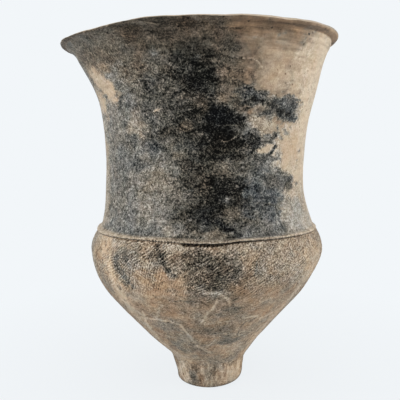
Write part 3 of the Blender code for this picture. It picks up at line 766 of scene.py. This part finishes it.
def inside_relief(skin):
    return INSIDE_LUMPS * lumps(skin) + uneven(skin.base, FINGER)


def foot_relief(skin):
    """Lumps, and the scraping that ran down the foot."""
    scraped = uneven(skin.base, SCRAPES)
    # painted shade: the tone follows the scrapes, darker where they sink
    skin.relief_shade = -SCRAPE_SHADE * scraped
    return lumps(skin) + SCRAPE * scraped


def paddle_strokes():
    """Where the paddle struck: azimuth, height, tilt of its cords and how far apart they lie."""
    draws = np.random.default_rng(SEED)
    for low in np.arange(CORD_LOW_Z - PADDLE_RISE, SEAM_Z + PADDLE_RISE, PADDLE_RISE):
        for azimuth in np.arange(-180, 180, PADDLE_STEP):
            azimuth += PADDLE_STEP * draws.uniform(0, 1)
            height = low + PADDLE_RISE * draws.uniform(0, 1)
            tilt = CORD_TILT + CORD_TILT_SPREAD * draws.normal()
            if COMB_AZIMUTHS[0] < azimuth < COMB_AZIMUTHS[1] and height < COMB_TOP_Z:
                tilt = COMB_TILT
            yield azimuth, height, math.radians(tilt), CORD_PITCH * draws.uniform(*CORD_PITCH_SPREAD)


def cord_pattern(skin):
    """Ridges (1) and grooves (-1) of the cords, each place marked by the nearest stroke."""
    wander = uneven(skin.base, CORD_WANDER)
    border = uneven(skin.base, PADDLE_RAGGED)
    radius = body_radius(skin.height)
    weights = np.zeros(skin.height.shape)
    total = np.zeros(skin.height.shape)
    for azimuth, height, tilt, pitch in paddle_strokes():
        across = apart(skin.azimuth, azimuth) * radius
        up = skin.height - height
        weight = np.exp(-(np.hypot(across, up) + border) / PADDLE_EDGE)
        turns = (up * math.cos(tilt) - across * math.sin(tilt)) / pitch + wander
        twist = (across * math.cos(tilt) + up * math.sin(tilt)) / CORD_TWIST + turns / 2
        weights += weight
        twisted = 1 - CORD_TWIST_SHARE * (1 - np.cos(math.tau * twist))
        total += weight * np.cos(math.tau * turns) * twisted
    return total / weights


def cord_relief(skin):
    """Lumps, and cord marks that fade down the belly and here and there."""
    kept = smooth((skin.height - CORD_LOW_Z) / CORD_FADE)
    kept = kept * smooth(CORD_KEPT + uneven(skin.base, CORD_PATCHES))
    kept = kept * np.interp(skin.azimuth, CORD_AZIMUTHS, CORD_SHARES)
    left, right = COMB_AZIMUTHS
    combed = np.interp(skin.azimuth, [left - COMB_FADE, left, right, right + COMB_FADE], [0, 1, 1, 0])
    kept = kept * (1 - COMB_CALM * combed * smooth((COMB_TOP_Z - skin.height) / COMB_TOP_FADE))
    pattern = cord_pattern(skin)
    # painted shade: cords darker in their grooves, lighter on their ridges
    skin.relief_shade = -CORD_SHADE * kept * pattern
    return lumps(skin) + CORD_DEPTH / 2 * kept * pattern + uneven(skin.base, PEBBLE)


def cone_relief(skin):
    return lumps(skin) + uneven(skin.base, CONE_WIPE)


def apart(around, azimuth):
    """Turn in radians from one azimuth to each of the others, the short way round."""
    return np.radians((around - azimuth + 180) % 360 - 180)


def off_stroke(across, up, corners):
    """Distance from each place to a line through corners, all in the same flat measure."""
    nearest = np.full(across.shape, np.inf)
    for (x, y), (next_x, next_y) in zip(corners, corners[1:]):
        run = np.array([next_x - x, next_y - y])
        share = ((across - x) * run[0] + (up - y) * run[1]) / (run @ run)
        share = np.clip(share, 0, 1)
        nearest = np.minimum(nearest, np.hypot(across - x - share * run[0], up - y - share * run[1]))
    return nearest


def washed(skin, ground, smudges, strokes, mottle):
    """Tone and warmth of a skin after each smudge and stroke is laid over its ground."""
    ragged = uneven(skin.base, RAGGED) + uneven(skin.base, FRAYED)
    radius = np.hypot(skin.base[..., 0], skin.base[..., 1])
    aside, astray = [uneven(skin.base, stray) for stray in STRAYS]
    worn = smooth(uneven(skin.base, BREAKS))
    tone = ground[0] + np.zeros(skin.height.shape)
    warmth = ground[1] + np.zeros(skin.height.shape)
    covers = []
    for _, azimuth, height, wide, tall, tilt, dark, warm, soft in smudges:
        across = apart(skin.azimuth, azimuth) * radius + aside
        up = skin.height - height * MM + astray
        turn = math.radians(tilt)
        along = (across * math.cos(turn) + up * math.sin(turn)) / (wide * MM)
        over = (up * math.cos(turn) - across * math.sin(turn)) / (tall * MM)
        covers.append((np.hypot(along, over) + ragged, dark, warm, soft))
    for _, corners, wide, dark, warm, soft in strokes:
        start = corners[0][0]
        level = np.mean(radius[np.abs(skin.height - corners[0][1] * MM).argmin(axis=0)[0]])
        places = [(math.radians(azimuth - start) * level, height * MM) for azimuth, height in corners]
        across = apart(skin.azimuth, start) * level + aside
        reach = off_stroke(across, skin.height + astray, places) / (wide * MM)
        covers.append((reach + ragged / 2 + worn, dark, warm, soft))
    for reach, dark, warm, soft in covers:
        cover = smooth((1 + soft - reach) / (2 * soft))
        tone = mix(tone, dark, cover)
        warmth = mix(warmth, warm, cover)
    return mottled(skin, tone, warmth, mottle)


def mottled(skin, tone, warmth, depth):
    """Tone and warmth broken up as fire leaves them, with pale wisps over the smoke."""
    places = skin.base + np.stack([uneven(skin.base, warp) for warp in MOTTLE_WARPS], axis=-1)
    streaked = smooth((tone - STREAK_TONE) / STREAK_FADE)
    mottle = mix(uneven(places, MOTTLES), uneven(places, STREAKS), streaked)
    mottle = depth * np.interp(tone, MOTTLE_TONES, MOTTLE_SHARES) * mottle
    wisps = smooth(1 - np.abs(uneven(places, WISPS)) / WISP_WIDTH)
    wisps = wisps * smooth(WISP_KEPT + uneven(skin.base, WISP_PATCHES))
    wisps = wisps * smooth((tone - WISP_TONE) / WISP_FADE)
    warmth = warmth + uneven(places, TINT) + MOTTLE_WARMTH * mottle
    return tone + mottle - WISP * wisps, warmth


def neck_paint(skin):
    """Washes, and grit that thins out where the clay was wiped or kept clean of smoke."""
    wiped = smooth((skin.height - WIPED_Z) / WIPED_FADE)
    wiped = wiped * mix(WIPED_LEFT_SHARE, 1.0, eased(skin.azimuth, *WIPED_AZIMUTHS))
    kept = 1 - WIPED_CALM * wiped
    tone, warmth = washed(skin, NECK_TONE, NECK_SMUDGES, NECK_STROKES, MOTTLE * kept)
    tone = tone + wiped * uneven(skin.base, WIPE_TONE)
    upper = eased(skin.azimuth, *CLEAN_AZIMUTHS) * smooth((skin.height - CLEAN_Z) / WIPED_FADE)
    right = eased(skin.azimuth, *CLEAN_RIGHT_AZIMUTHS)
    clean = np.maximum(np.maximum(upper, right), eased(tone, *PALE_TONES))
    clean = clean * eased(warmth, *CLEAN_WARMTHS) * eased(tone, *SMOKED_TONES)
    skin.grit = kept * (1 - CLEAN_CALM * clean)
    return tone, warmth


def hatching(skin, twist, layer):
    """Strokes that climb round the clay, as far round for each height as the twist says."""
    turn = skin.angle + twist * skin.height
    radius = np.hypot(skin.base[..., 0], skin.base[..., 1])
    places = np.stack([radius * np.cos(turn), radius * np.sin(turn), skin.height], axis=-1)
    return uneven(places, layer)


def round_seam(azimuth, values):
    return np.interp(azimuth, SEAM_AZIMUTHS, values)


def round_lip(azimuth, values):
    return np.interp(azimuth, WEAR_AZIMUTHS, values)


def seam_height(azimuth):
    return SEAM_Z + round_seam(azimuth, SEAM_LIFTS)


def stitches(azimuth):
    """1 at the small gaps where the lip is only pinched on to the shoulder, 0 beside them."""
    stitched = (azimuth > STITCH_AZIMUTHS[0]) & (azimuth < STITCH_AZIMUTHS[1])
    uneven = sum(size * np.sin(rate * azimuth) for size, rate in STITCH_WAVES)
    return stitched * smooth(np.cos(math.tau * azimuth / STITCH_STEP + uneven))


def body_paint(skin):
    """Washes and rubbing, with painted shade along the foot's lower edge and in the open seam."""
    tone, warmth = washed(skin, BODY_TONE, BODY_SMUDGES, BODY_STROKES, BODY_MOTTLE)
    tone = tone + sum(hatching(skin, *rub) for rub in RUB_TWISTS.items())
    warmth = warmth + uneven(skin.base, BODY_TINT)
    calm = np.maximum(eased(tone, *BODY_PALE_TONES), eased(warmth, *ORANGE_WARMTHS))
    skin.grit = 1 - BODY_CALM * calm
    above = skin.height - BODY_JOINTS[2]
    skin.grit = skin.grit * np.where(above > 0, mix(BELLY_FOOT_GRIT, 1.0, smooth(above / GRIT_FADE)), 1.0)
    # painted shade, darker towards the foot's lower edge
    tone = tone + BODY_FOOT_SHADE * smooth(1 - skin.height / BODY_FOOT_SHADE_REACH)
    # painted shade in and under the open seam, reaching further at the stitches
    reach = round_seam(skin.azimuth, SEAM_SHADE_REACHES) + STITCH * stitches(skin.azimuth)
    seam_shaded = smooth(SEAM_SHADE_EDGE - (seam_height(skin.azimuth) - skin.height) / reach)
    return mix(tone, seam_shade_tone(skin), seam_shaded), mix(warmth, SEAM_SHADE_WARMTH, seam_shaded)


def inside_paint(skin):
    return washed(skin, INSIDE_TONE, INSIDE_SMUDGES, [], MOTTLE)


# Tone of the painted shade in the seam, darker still in the stitch holes
def seam_shade_tone(skin):
    return round_seam(skin.azimuth, SEAM_SHADE_TONES) + STITCH_SHADE_TONE * stitches(skin.azimuth)


def cordon_paint(skin):
    """Colours of the neck, rubbed pale on the lip, with the seam's painted shade where the clay faces down.
    """
    tone, warmth = neck_paint(skin)
    above = skin.height - seam_height(skin.azimuth) - RIDGE_RISE
    lip = smooth(1 - above / round_seam(skin.azimuth, LIP_WEARS))
    tone = mix(tone, RIDGE_TONE + RIDGE_KEPT * (tone - MIDDLE_TONE), RIDGE_COVER * lip)
    # painted shade where the cordon faces down
    under = smooth((DOWNWARD_SHADE_FACING - skin.out[..., 2]) / DOWNWARD_SHADE_FADE)
    return mix(tone, seam_shade_tone(skin), under), mix(warmth, RIDGE_WARMTH, lip)


def rim_paint(skin):
    """Colours of the neck, with a worn lip painted pale, as wear and highlight where it faces up, over a
    brown band.
    """
    tone, warmth = neck_paint(skin)
    rise = skin.out[..., 2]
    bead = TOP_Z - 2 * round_lip(skin.azimuth, BEAD_HALVES) - CREASE_DROP
    bead = smooth((skin.height - bead) / BEAD_EDGE)
    # wear and painted highlight: the lip is paler where it faces up
    wear = round_lip(skin.azimuth, WORN_LIT_RISES) + uneven(skin.base, WORN_LIT_RAGGED)
    worn = bead * smooth((rise - wear) / WORN_LIT_FADE)
    # painted shade where the bead faces down
    shade = BEAD_SHADE * smooth((BEAD_UNDERSIDE - rise) / BEAD_SHADE_FADE)
    side = round_lip(skin.azimuth, BEAD_TONES) + shade
    cover = bead * round_lip(skin.azimuth, BEAD_COVERS)
    tone = mix(tone, side + BEAD_KEPT * (tone - MIDDLE_TONE), cover)
    warmth = mix(warmth, BEAD_WARMTH, cover)
    return mix(tone, round_lip(skin.azimuth, WORN_LIT_LIP_TONES), worn), mix(warmth, WORN_LIT_WARMTH, worn)


def placed(name, data, place=(0, 0, 0)):
    """Object of the scene for a mesh, lamp or camera."""
    thing = bpy.data.objects.new(name, data)
    thing.location = place
    bpy.context.scene.collection.objects.link(thing)
    return thing


def clay_piece(node, surface, skins, poles=()):
    """Closed piece of clay through its skins in turn, which stands for the solid of its name."""
    place = np.concatenate([skin.place for skin in skins])
    count, columns = place.shape[:2]
    index = np.arange(count * columns).reshape(count, columns)
    following = index[1:] if poles else np.roll(index, -1, axis=0)
    ring = index[:len(following)]
    quads = np.stack([ring, np.roll(ring, -1, 1), np.roll(following, -1, 1), following], axis=-1)
    corners = [quads.reshape(-1, 4)]
    values = {}
    for name in ("tone", "warmth", "relief_shade", "grit"):
        values[name] = np.concatenate([getattr(skin, name) for skin in skins]).ravel()
    places = place.reshape(-1, 3)
    outs = np.concatenate([skin.out for skin in skins]).reshape(-1, 3)
    for end, pole in zip((0, -1), poles):
        fan = index[end] if end else index[end][::-1]
        tip = np.full(columns, len(places))
        corners.append(np.stack([fan, np.roll(fan, -1), tip], axis=-1))
        places = np.vstack([places, pole])
        outs = np.vstack([outs, outs[index[end]].mean(axis=0)])
        values = {name: np.append(value, value[index[end]].mean()) for name, value in values.items()}
    mesh = bpy.data.meshes.new(node + "_skin")
    mesh.from_pydata(places, [], [face for group in corners for face in group.tolist()])
    mesh.shade_smooth()
    mesh.normals_split_custom_set_from_vertices(outs / np.linalg.norm(outs, axis=1, keepdims=True))
    for name, value in values.items():
        mesh.attributes.new(name, "FLOAT", "POINT").data.foreach_set("value", value)
    mesh.materials.append(surface)
    piece = placed(node + "_clay", mesh)
    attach(piece, "root")
    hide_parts(node)


def outer(radius_at, low, high, relief, paint, columns, spacing):
    heights = rows(low, high, spacing)
    return Skin(radius_at(heights), heights, columns, relief, paint)


def inner(radius_at, high, low, columns):
    heights = rows(high, low, INNER_ROW)
    return Skin(radius_at(heights), heights, columns, inside_relief, inside_paint)


def along_curve(points):
    """Skin rows through a rounded row of radius and height points, with one more past each end."""
    path = rounded(np.array([np.broadcast_arrays(*point) for point in points], dtype=float))
    path = np.concatenate([2 * path[:1] - path[1:2], path, 2 * path[-1:] - path[-2:-1]])
    return path[:, 0], path[:, 1]


def plain(skin):
    return 0 * skin.height


def dish_points():
    """Dish in the foot that the cup is bedded in, from its edge to the middle."""
    edge = body_radius(np.array([FOOT_HEIGHT]))
    return [(edge - MM, FOOT_HEIGHT), (edge / 2, DISH_Z), (edge / 4, DISH_Z), (MM + 0 * edge, DISH_Z)]


def make_foot(surface):
    """Stub whose lower edge is rounded further on the right."""
    right = eased(np.cos(ring_angles(COLUMNS)), FOOT_ROUND_START, 1)
    edge = mix(FOOT_EDGE_ROUND, FOOT_RIGHT_ROUND, right)
    flat = FOOT_EDGE_RADIUS - edge
    points = [(flat * share, 0 * flat) for share in FOOT_FLAT_SHARES]
    points += [(FOOT_EDGE_RADIUS + 0 * flat, 0 * flat), (body_radius(edge), edge)]
    under = Skin(*along_curve(points), COLUMNS, plain, body_paint)
    step = ROW / (FOOT_HEIGHT - FOOT_EDGE_ROUND)
    heights = mix(edge, FOOT_HEIGHT, rows(step, 1.0, step))
    side = Skin(body_radius(heights), heights, COLUMNS, foot_relief, body_paint)
    bed = Skin(*along_curve(dish_points()), COLUMNS, plain, inside_paint)
    poles = [(0, 0, 0), (JOINT_SHIFTS[0], 0, DISH_Z)]
    clay_piece("foot_stub", surface, [under, side, bed], poles)


def make_cup(surface):
    under = Skin(*along_curve(dish_points()[::-1]), COLUMNS, plain, inside_paint)
    side = outer(body_radius, FOOT_HEIGHT, CUP_TOP_Z, cone_relief, body_paint, COLUMNS, NECK_ROW)
    well_top = CUP_TOP_Z - JOINT_DROP
    wall = body_inside(np.array([well_top]))
    corner = wall - CONE_SLOPE * (well_top - FLOOR_Z)
    well = [(wall, well_top), (mix(wall, corner, 0.5), mix(well_top, FLOOR_Z, 0.5)),
            (corner, FLOOR_Z), (corner / 2, FLOOR_Z), (MM + 0 * wall, FLOOR_Z)]
    floor = Skin(*along_curve(well), COLUMNS, plain, inside_paint)
    poles = [(0, 0, DISH_Z), (0, 0, FLOOR_Z)]
    clay_piece("base_cup", surface, [under, side, floor], poles)


def make_course(node, low, high, relief, surface, columns, spacing):
    """Ring of the body's wall between joints whose inner edges lie lower than the outer."""
    skins = [outer(body_radius, low, high, relief, body_paint, columns, spacing),
             inner(body_inside, high - JOINT_DROP, low - JOINT_DROP, columns)]
    clay_piece(node, surface, skins)


def make_shoulder(surface):
    step = CORD_ROW / (SEAM_Z - BELLY_Z)
    heights = mix(BELLY_Z, seam_height(azimuths(ring_angles(CORD_COLUMNS))), rows(0.0, 1.0, step))
    skins = [Skin(body_radius(heights), heights, CORD_COLUMNS, cord_relief, body_paint),
             inner(body_inside, BED_INNER_Z, BELLY_Z - JOINT_DROP, CORD_COLUMNS)]
    clay_piece("shoulder_course", surface, skins)


def make_neck(surface):
    names = ("neck_course_lower", "neck_course_middle", "neck_course_upper", "mouth_course")
    for node, low, high in zip(names, NECK_JOINTS, NECK_JOINTS[1:]):
        first = low == SEAM_Z
        base = bed_height(NECK_FOOT_RADIUS) if first else low
        end = BED_INNER_Z if first else low - JOINT_DROP
        relief = neck_foot_relief if first else neck_relief
        skins = [outer(neck_radius, base, high, relief, neck_paint, NECK_COLUMNS, NECK_ROW),
                 inner(neck_inside, high - JOINT_DROP, end, NECK_COLUMNS)]
        clay_piece(node, surface, skins)


def make_cordon(surface):
    """Wedge whose lip stands open over the seam at the front and hangs over it on the left."""
    angle = ring_angles(CORD_COLUMNS)
    azimuth = azimuths(angle)
    wave = uneven(ring_places(angle, NECK_FOOT_RADIUS), CORDON_WAVE)
    opening = round_seam(azimuth, OPENINGS) + STITCH * stitches(azimuth)
    under = seam_height(azimuth) + opening + wave * np.minimum(1, opening / WAVED_OPENING)
    under = under - round_seam(azimuth, DROOPS)
    lip = NECK_FOOT_RADIUS + round_seam(azimuth, JUTS) + wave
    top = SEAM_Z + CORDON_HEIGHT + 2 * wave
    feather = neck_radius(top) - CORDON_SUNK
    upper = (lip - CORDON_LIP / 3, under + CORDON_LIP)
    bend = (mix(upper[0], feather, CORDON_HOLLOW[0]), mix(upper[1], top, CORDON_HOLLOW[1]))
    deep = NECK_FOOT_RADIUS - UNDERCUT
    points = [(deep + 0 * lip, under + 0.3 * MM), (lip - 0.8 * CORDON_LIP, under + 0.1 * MM),
              (lip - 0.2 * CORDON_LIP, under), (lip, under + 0.45 * CORDON_LIP), upper, bend,
              (feather, top), (neck_radius(top + CORDON_TAIL) - 4 * CORDON_SUNK, top + CORDON_TAIL)]
    front = Skin(*along_curve(points), CORD_COLUMNS, neck_relief, cordon_paint)
    back_rows = rows(SEAM_Z + CORDON_HEIGHT, SEAM_Z + CORDON_LIP, INNER_ROW)
    back = Skin(neck_radius(back_rows) - UNDERCUT, back_rows, CORD_COLUMNS, plain, inside_paint)
    clay_piece("neck_cordon", surface, [front, back])


def make_lute(surface):
    """Band of clay smeared over the seam inside, thickest at the seam."""
    low, high = SEAM_Z - LUTE_BELOW_SEAM, SEAM_Z + LUTE_ABOVE_SEAM

    def wall(height):
        return np.where(height < BED_INNER_Z, body_inside(height), neck_inside(height))

    def front_radius(height):
        reach = np.where(height > SEAM_Z, LUTE_ABOVE_SEAM, LUTE_BELOW_SEAM)
        swell = smooth(1 - np.abs(height - SEAM_Z) / reach)
        around = [wall(height + step) for step in LUTE_EVENING]
        return sum(around) / len(around) - mix(-CORDON_SUNK, LUTE_THICKNESS, swell)

    front = inner(front_radius, high, low, COLUMNS)
    back_rows = rows(low + MM, high - MM, INNER_ROW)
    back = Skin(wall(back_rows) + CORDON_SUNK, back_rows, COLUMNS, plain, inside_paint)
    clay_piece("inner_lute", surface, [front, back])


def make_rim(surface):
    """Bead on the mouth's edge, thin on the left and rolled fuller on the right."""
    angle = ring_angles(NECK_COLUMNS)
    azimuth = azimuths(angle)
    up, out = [uneven(ring_places(angle, RIM_RADIUS), wave) for wave in RIM_WAVES]
    lift = np.interp(azimuth, LIP_AZIMUTHS, LIP_LIFTS) + up
    half_height = round_lip(azimuth, BEAD_HALVES)
    middle = RIM_RADIUS - ROLL_HALF_WIDTH + out
    points = [(neck_radius(height) + 0 * angle, height) for height in (MOUTH_Z, MOUTH_Z + ROW)]
    rolled = eased(np.cos(angle), CREASE_START, 1)
    crease = TOP_Z + lift - 2 * half_height - CREASE_DROP
    flare = mix(points[-1][0], middle, 0.5)
    for rise in (-CREASE_DROP, 0):
        height = mix(mix(MOUTH_Z + ROW, crease, 0.5), crease + rise, rolled)
        points.append((mix(flare, neck_radius(height), rolled), height))
    for turn in np.linspace(ROLL_START, ROLL_END, ROLL_STEPS):
        across = middle + ROLL_HALF_WIDTH * math.cos(turn)
        points.append((across, TOP_Z - half_height + lift + half_height * math.sin(turn)))
    edge = MOUTH_Z - JOINT_DROP
    throat = mix(neck_inside(edge), points[-1][0], THROAT_SHARE)
    points += [(throat, MOUTH_Z), (neck_inside(edge) + 0 * angle, edge)]
    skin = Skin(*along_curve(points), NECK_COLUMNS, neck_relief, rim_paint)
    clay_piece("rim_roll", surface, [skin])


def linear(color):
    """Light of an sRGB colour given in steps of 255."""
    shares = [value / 255 for value in color]
    return [share / 12.92 if share <= 0.04045 else ((share + 0.055) / 1.055) ** 2.4 for share in shares]


class Surface:
    """Nodes of a material or of the world, with short ways to add and join them."""

    def __init__(self, owner):
        owner.use_nodes = True
        self.owner = owner
        self.tree = owner.node_tree
        self.places = self.add("ShaderNodeTexCoord").outputs["Object"]

    def add(self, kind, **settings):
        node = self.tree.nodes.new(kind)
        for name, value in settings.items():
            setattr(node, name, value)
        return node

    def feed(self, socket, value):
        if isinstance(value, bpy.types.NodeSocket):
            self.tree.links.new(value, socket)
        else:
            socket.default_value = value

    def give(self, node, values):
        for name, value in values.items():
            self.feed(node.inputs[name], value)

    def math(self, operation, first, second=0.0, clamp=False):
        node = self.add("ShaderNodeMath", operation=operation, use_clamp=clamp)
        self.feed(node.inputs[0], first)
        self.feed(node.inputs[1], second)
        return node.outputs[0]

    def times(self, first, second):
        return self.math("MULTIPLY", first, second)

    def plus(self, first, *others):
        for other in others:
            first = self.math("ADD", first, other)
        return first

    def ranged(self, value, from_low, from_high, to_low, to_high):
        node = self.add("ShaderNodeMapRange")
        for socket, given in zip(node.inputs, (value, from_low, from_high, to_low, to_high)):
            self.feed(socket, given)
        return node.outputs[0]

    def painted(self, name):
        return self.add("ShaderNodeAttribute", attribute_name=name).outputs["Fac"]

    def noise(self, size, detail, roughness=0.6, distortion=0.0, stretch=None):
        """Noise about zero, with grains of the given size."""
        node = self.add("ShaderNodeTexNoise")
        places = self.places
        if stretch:
            stretched = self.add("ShaderNodeMapping")
            self.give(stretched, {"Vector": places, "Scale": stretch})
            places = stretched.outputs[0]
        self.give(node, {"Vector": places, "Scale": 1 / size, "Detail": detail})
        self.give(node, {"Roughness": roughness, "Distortion": distortion})
        return self.math("SUBTRACT", node.outputs["Fac"], 0.5)

    def ramp(self, value, colors):
        node = self.add("ShaderNodeValToRGB")
        stops = node.color_ramp.elements
        while len(stops) < len(colors):
            stops.new(0.5)
        for index, color in enumerate(colors):
            stops[index].position = index / (len(colors) - 1)
            stops[index].color = (*linear(color), 1.0)
        self.feed(node.inputs[0], value)
        return node.outputs["Color"]

    def blended(self, share, first, second, blend="MIX"):
        node = self.add("ShaderNodeMix", data_type="RGBA", blend_type=blend)
        self.give(node, {"Factor": share, "A": first, "B": second})
        return node.outputs["Result"]

    def pits(self, size, share):
        """1 inside a few small round pits, one in some of the cells of the given size."""
        node = self.add("ShaderNodeTexVoronoi")
        self.give(node, {"Vector": self.places, "Scale": 1 / size})
        picked = self.add("ShaderNodeSeparateColor")
        self.feed(picked.inputs[0], node.outputs["Color"])
        chosen = self.math("LESS_THAN", picked.outputs[0], share)
        hollow = self.ranged(node.outputs["Distance"], *PIT_EDGE, 1.0, 0.0)
        return self.times(chosen, hollow)

    def straight_rays(self):
        """1 for rays from the camera, or by way of a mirror or glass, which should see the backdrop."""
        path = self.add("ShaderNodeLightPath")
        seen = path.outputs["Is Camera Ray"]
        for name in ("Is Glossy Ray", "Is Transmission Ray"):
            seen = self.math("MAXIMUM", seen, path.outputs[name])
        return seen

    def show_backdrop(self, kind, share, lit, end):
        """Leads the backdrop's own colour, mixed over what is lit, to the end of the nodes."""
        backdrop = self.add(kind)
        self.give(backdrop, {"Color": (*linear(BACKGROUND), 1.0)})
        choice = self.add("ShaderNodeMixShader")
        for socket, value in zip(choice.inputs, (share, lit.outputs[0], backdrop.outputs[0])):
            self.feed(socket, value)
        self.give(self.tree.nodes[end], {"Surface": choice.outputs[0]})


def clay_surface(name, grain, speckle, pale_share, pitted, relief_shade_depth, rough):
    """Fired clay: painted tone and warmth, broken up by flecks, grain, strokes and pits."""
    clay = Surface(bpy.data.materials.new(name))
    tone, relief_shade, grit = [clay.painted(value) for value in ("tone", "relief_shade", "grit")]
    flecks = clay.noise(FLECK_SIZE * grain, *FLECK_LOOK)
    fine = clay.noise(FINE_SIZE * grain, *FINE_LOOK)
    hairs = clay.math("ABSOLUTE", clay.noise(HAIR_SIZE * grain, *HAIR_LOOK))
    hairs = clay.ranged(hairs, 0.0, HAIR_WIDTH, *HAIR_TONES)
    broken = clay.plus(clay.times(flecks, FLECK_SHARE), clay.times(fine, FINE_SHARE), hairs)
    strength = clay.times(grit, clay.ranged(tone, *SPECKLE_TONES, pale_share * speckle, speckle))
    strokes = clay.noise(BRUSH_SIZE, BRUSH_DETAIL, stretch=BRUSH_STRETCH)
    streaks = clay.times(strokes, clay.ranged(grit, *BRUSH_GRITS, *BRUSH_DEPTHS))
    pits = clay.pits(PIT_SIZE, pitted)
    # tone with the painted shade of grooves and light of ridges
    shaded = clay.plus(tone, clay.times(broken, strength), streaks, clay.times(relief_shade, relief_shade_depth))
    shaded = clay.math("ADD", shaded, clay.times(pits, PIT_TONE), clamp=True)
    deeper = clay.math("SUBTRACT", shaded, tone)
    deeper = clay.times(deeper, clay.ranged(tone, *HUE_SHIFT_TONES, HUE_SHIFT, 0.0))
    warmth = clay.plus(clay.painted("warmth"), deeper)
    warm = clay.math("MAXIMUM", warmth, 0.0, clamp=True)
    cool = clay.math("MULTIPLY", warmth, -1.0, clamp=True)
    color = clay.blended(warm, clay.ramp(shaded, PLAIN_CLAY), clay.ramp(shaded, WARM_CLAY))
    color = clay.blended(cool, color, clay.ramp(shaded, COOL_CLAY))
    drift = clay.ranged(clay.noise(HUE_DRIFT_SIZE, BRUSH_DETAIL), *HUE_DRIFT_SPAN, 0.0, 1.0)
    color = clay.blended(1.0, color, clay.blended(drift, *HUE_DRIFT), "MULTIPLY")
    rough = clay.ranged(broken, *ROUGH_SPAN, rough - ROUGH_SPREAD, rough + ROUGH_SPREAD)
    relief = clay.add("ShaderNodeBump", invert=True)
    clay.give(relief, {"Distance": BUMP_DEPTH * grain, "Strength": BUMP_STRENGTH})
    clay.give(relief, {"Height": clay.plus(broken, strokes, pits)})
    shader = clay.tree.nodes["Principled BSDF"]
    clay.give(shader, {"Base Color": color, "Roughness": rough, "Normal": relief.outputs["Normal"]})
    clay.give(shader, {"Specular IOR Level": SPECULAR, "Sheen Weight": SHEEN})
    clay.give(shader, {"Sheen Roughness": SHEEN_ROUGHNESS})
    return clay.owner


def make_world():
    """Even light all round, behind the pale backdrop."""
    world = bpy.data.worlds.new("studio")
    bpy.context.scene.world = world
    light = Surface(world)
    lit = light.tree.nodes["Background"]
    light.give(lit, {"Color": (1.0, 1.0, 1.0, 1.0), "Strength": AMBIENT})
    light.show_backdrop("ShaderNodeBackground", light.straight_rays(), lit, "World Output")


def make_lamp(name, place, size, power):
    lamp = bpy.data.lights.new(name, "AREA")
    lamp.shape = "DISK"
    lamp.size = size
    lamp.energy = power
    stand = placed(name, lamp, place)
    towards = Vector((0, 0, WAIST_Z)) - stand.location
    stand.rotation_euler = towards.to_track_quat("-Z", "Y").to_euler()


def make_floor():
    """Pale floor that keeps the shadow near the vase and runs into the background further off."""
    mesh = bpy.data.meshes.new("floor")
    ring = ring_places(ring_angles(FLOOR_CORNERS), FLOOR_RADIUS) - np.array([0, 0, FLOOR_DROP])
    mesh.from_pydata(ring, [], [list(range(len(ring)))])
    ground = Surface(bpy.data.materials.new("pale_floor"))
    lit = ground.tree.nodes["Principled BSDF"]
    ground.give(lit, {"Base Color": FLOOR_COLOR, "Roughness": FLOOR_ROUGHNESS, "Specular IOR Level": 0.0})
    away = ground.add("ShaderNodeVectorMath", operation="LENGTH")
    ground.feed(away.inputs[0], ground.places)
    far = ground.ranged(away.outputs["Value"], *FLOOR_FADE, FLOOR_NEAR_SHARE, 1.0)
    share = ground.times(far, ground.straight_rays())
    ground.show_backdrop("ShaderNodeEmission", share, lit, "Material Output")
    mesh.materials.append(ground.owner)
    floor = placed("floor", mesh)


def make_camera():
    camera = bpy.data.cameras.new("camera")
    camera.lens = CAMERA_LENS
    camera.sensor_width = CAMERA_SENSOR
    stand = placed("camera", camera, CAMERA_PLACE)
    stand.rotation_euler = (math.pi / 2 - CAMERA_PITCH, 0, 0)
    bpy.context.scene.camera = stand


make_camera()
make_world()
make_floor()
for lamp, setting in LAMPS.items():
    make_lamp(lamp, *setting)
bpy.context.scene.view_settings.view_transform = "Standard"

burnished, cord_marked, rubbed, smeared = [clay_surface(name, *clay) for name, clay in CLAYS.items()]
make_foot(rubbed)
make_cup(rubbed)
make_course("cone_course_lower", *BODY_JOINTS[:2], cone_relief, rubbed, NECK_COLUMNS, NECK_ROW)
make_course("cone_course_upper", *BODY_JOINTS[1:3], cord_relief, rubbed, NECK_COLUMNS, NECK_ROW)
make_course("belly_course", *BODY_JOINTS[2:], cord_relief, cord_marked, CORD_COLUMNS, CORD_ROW)
make_shoulder(cord_marked)
make_neck(burnished)
make_cordon(burnished)
make_lute(smeared)
make_rim(burnished)
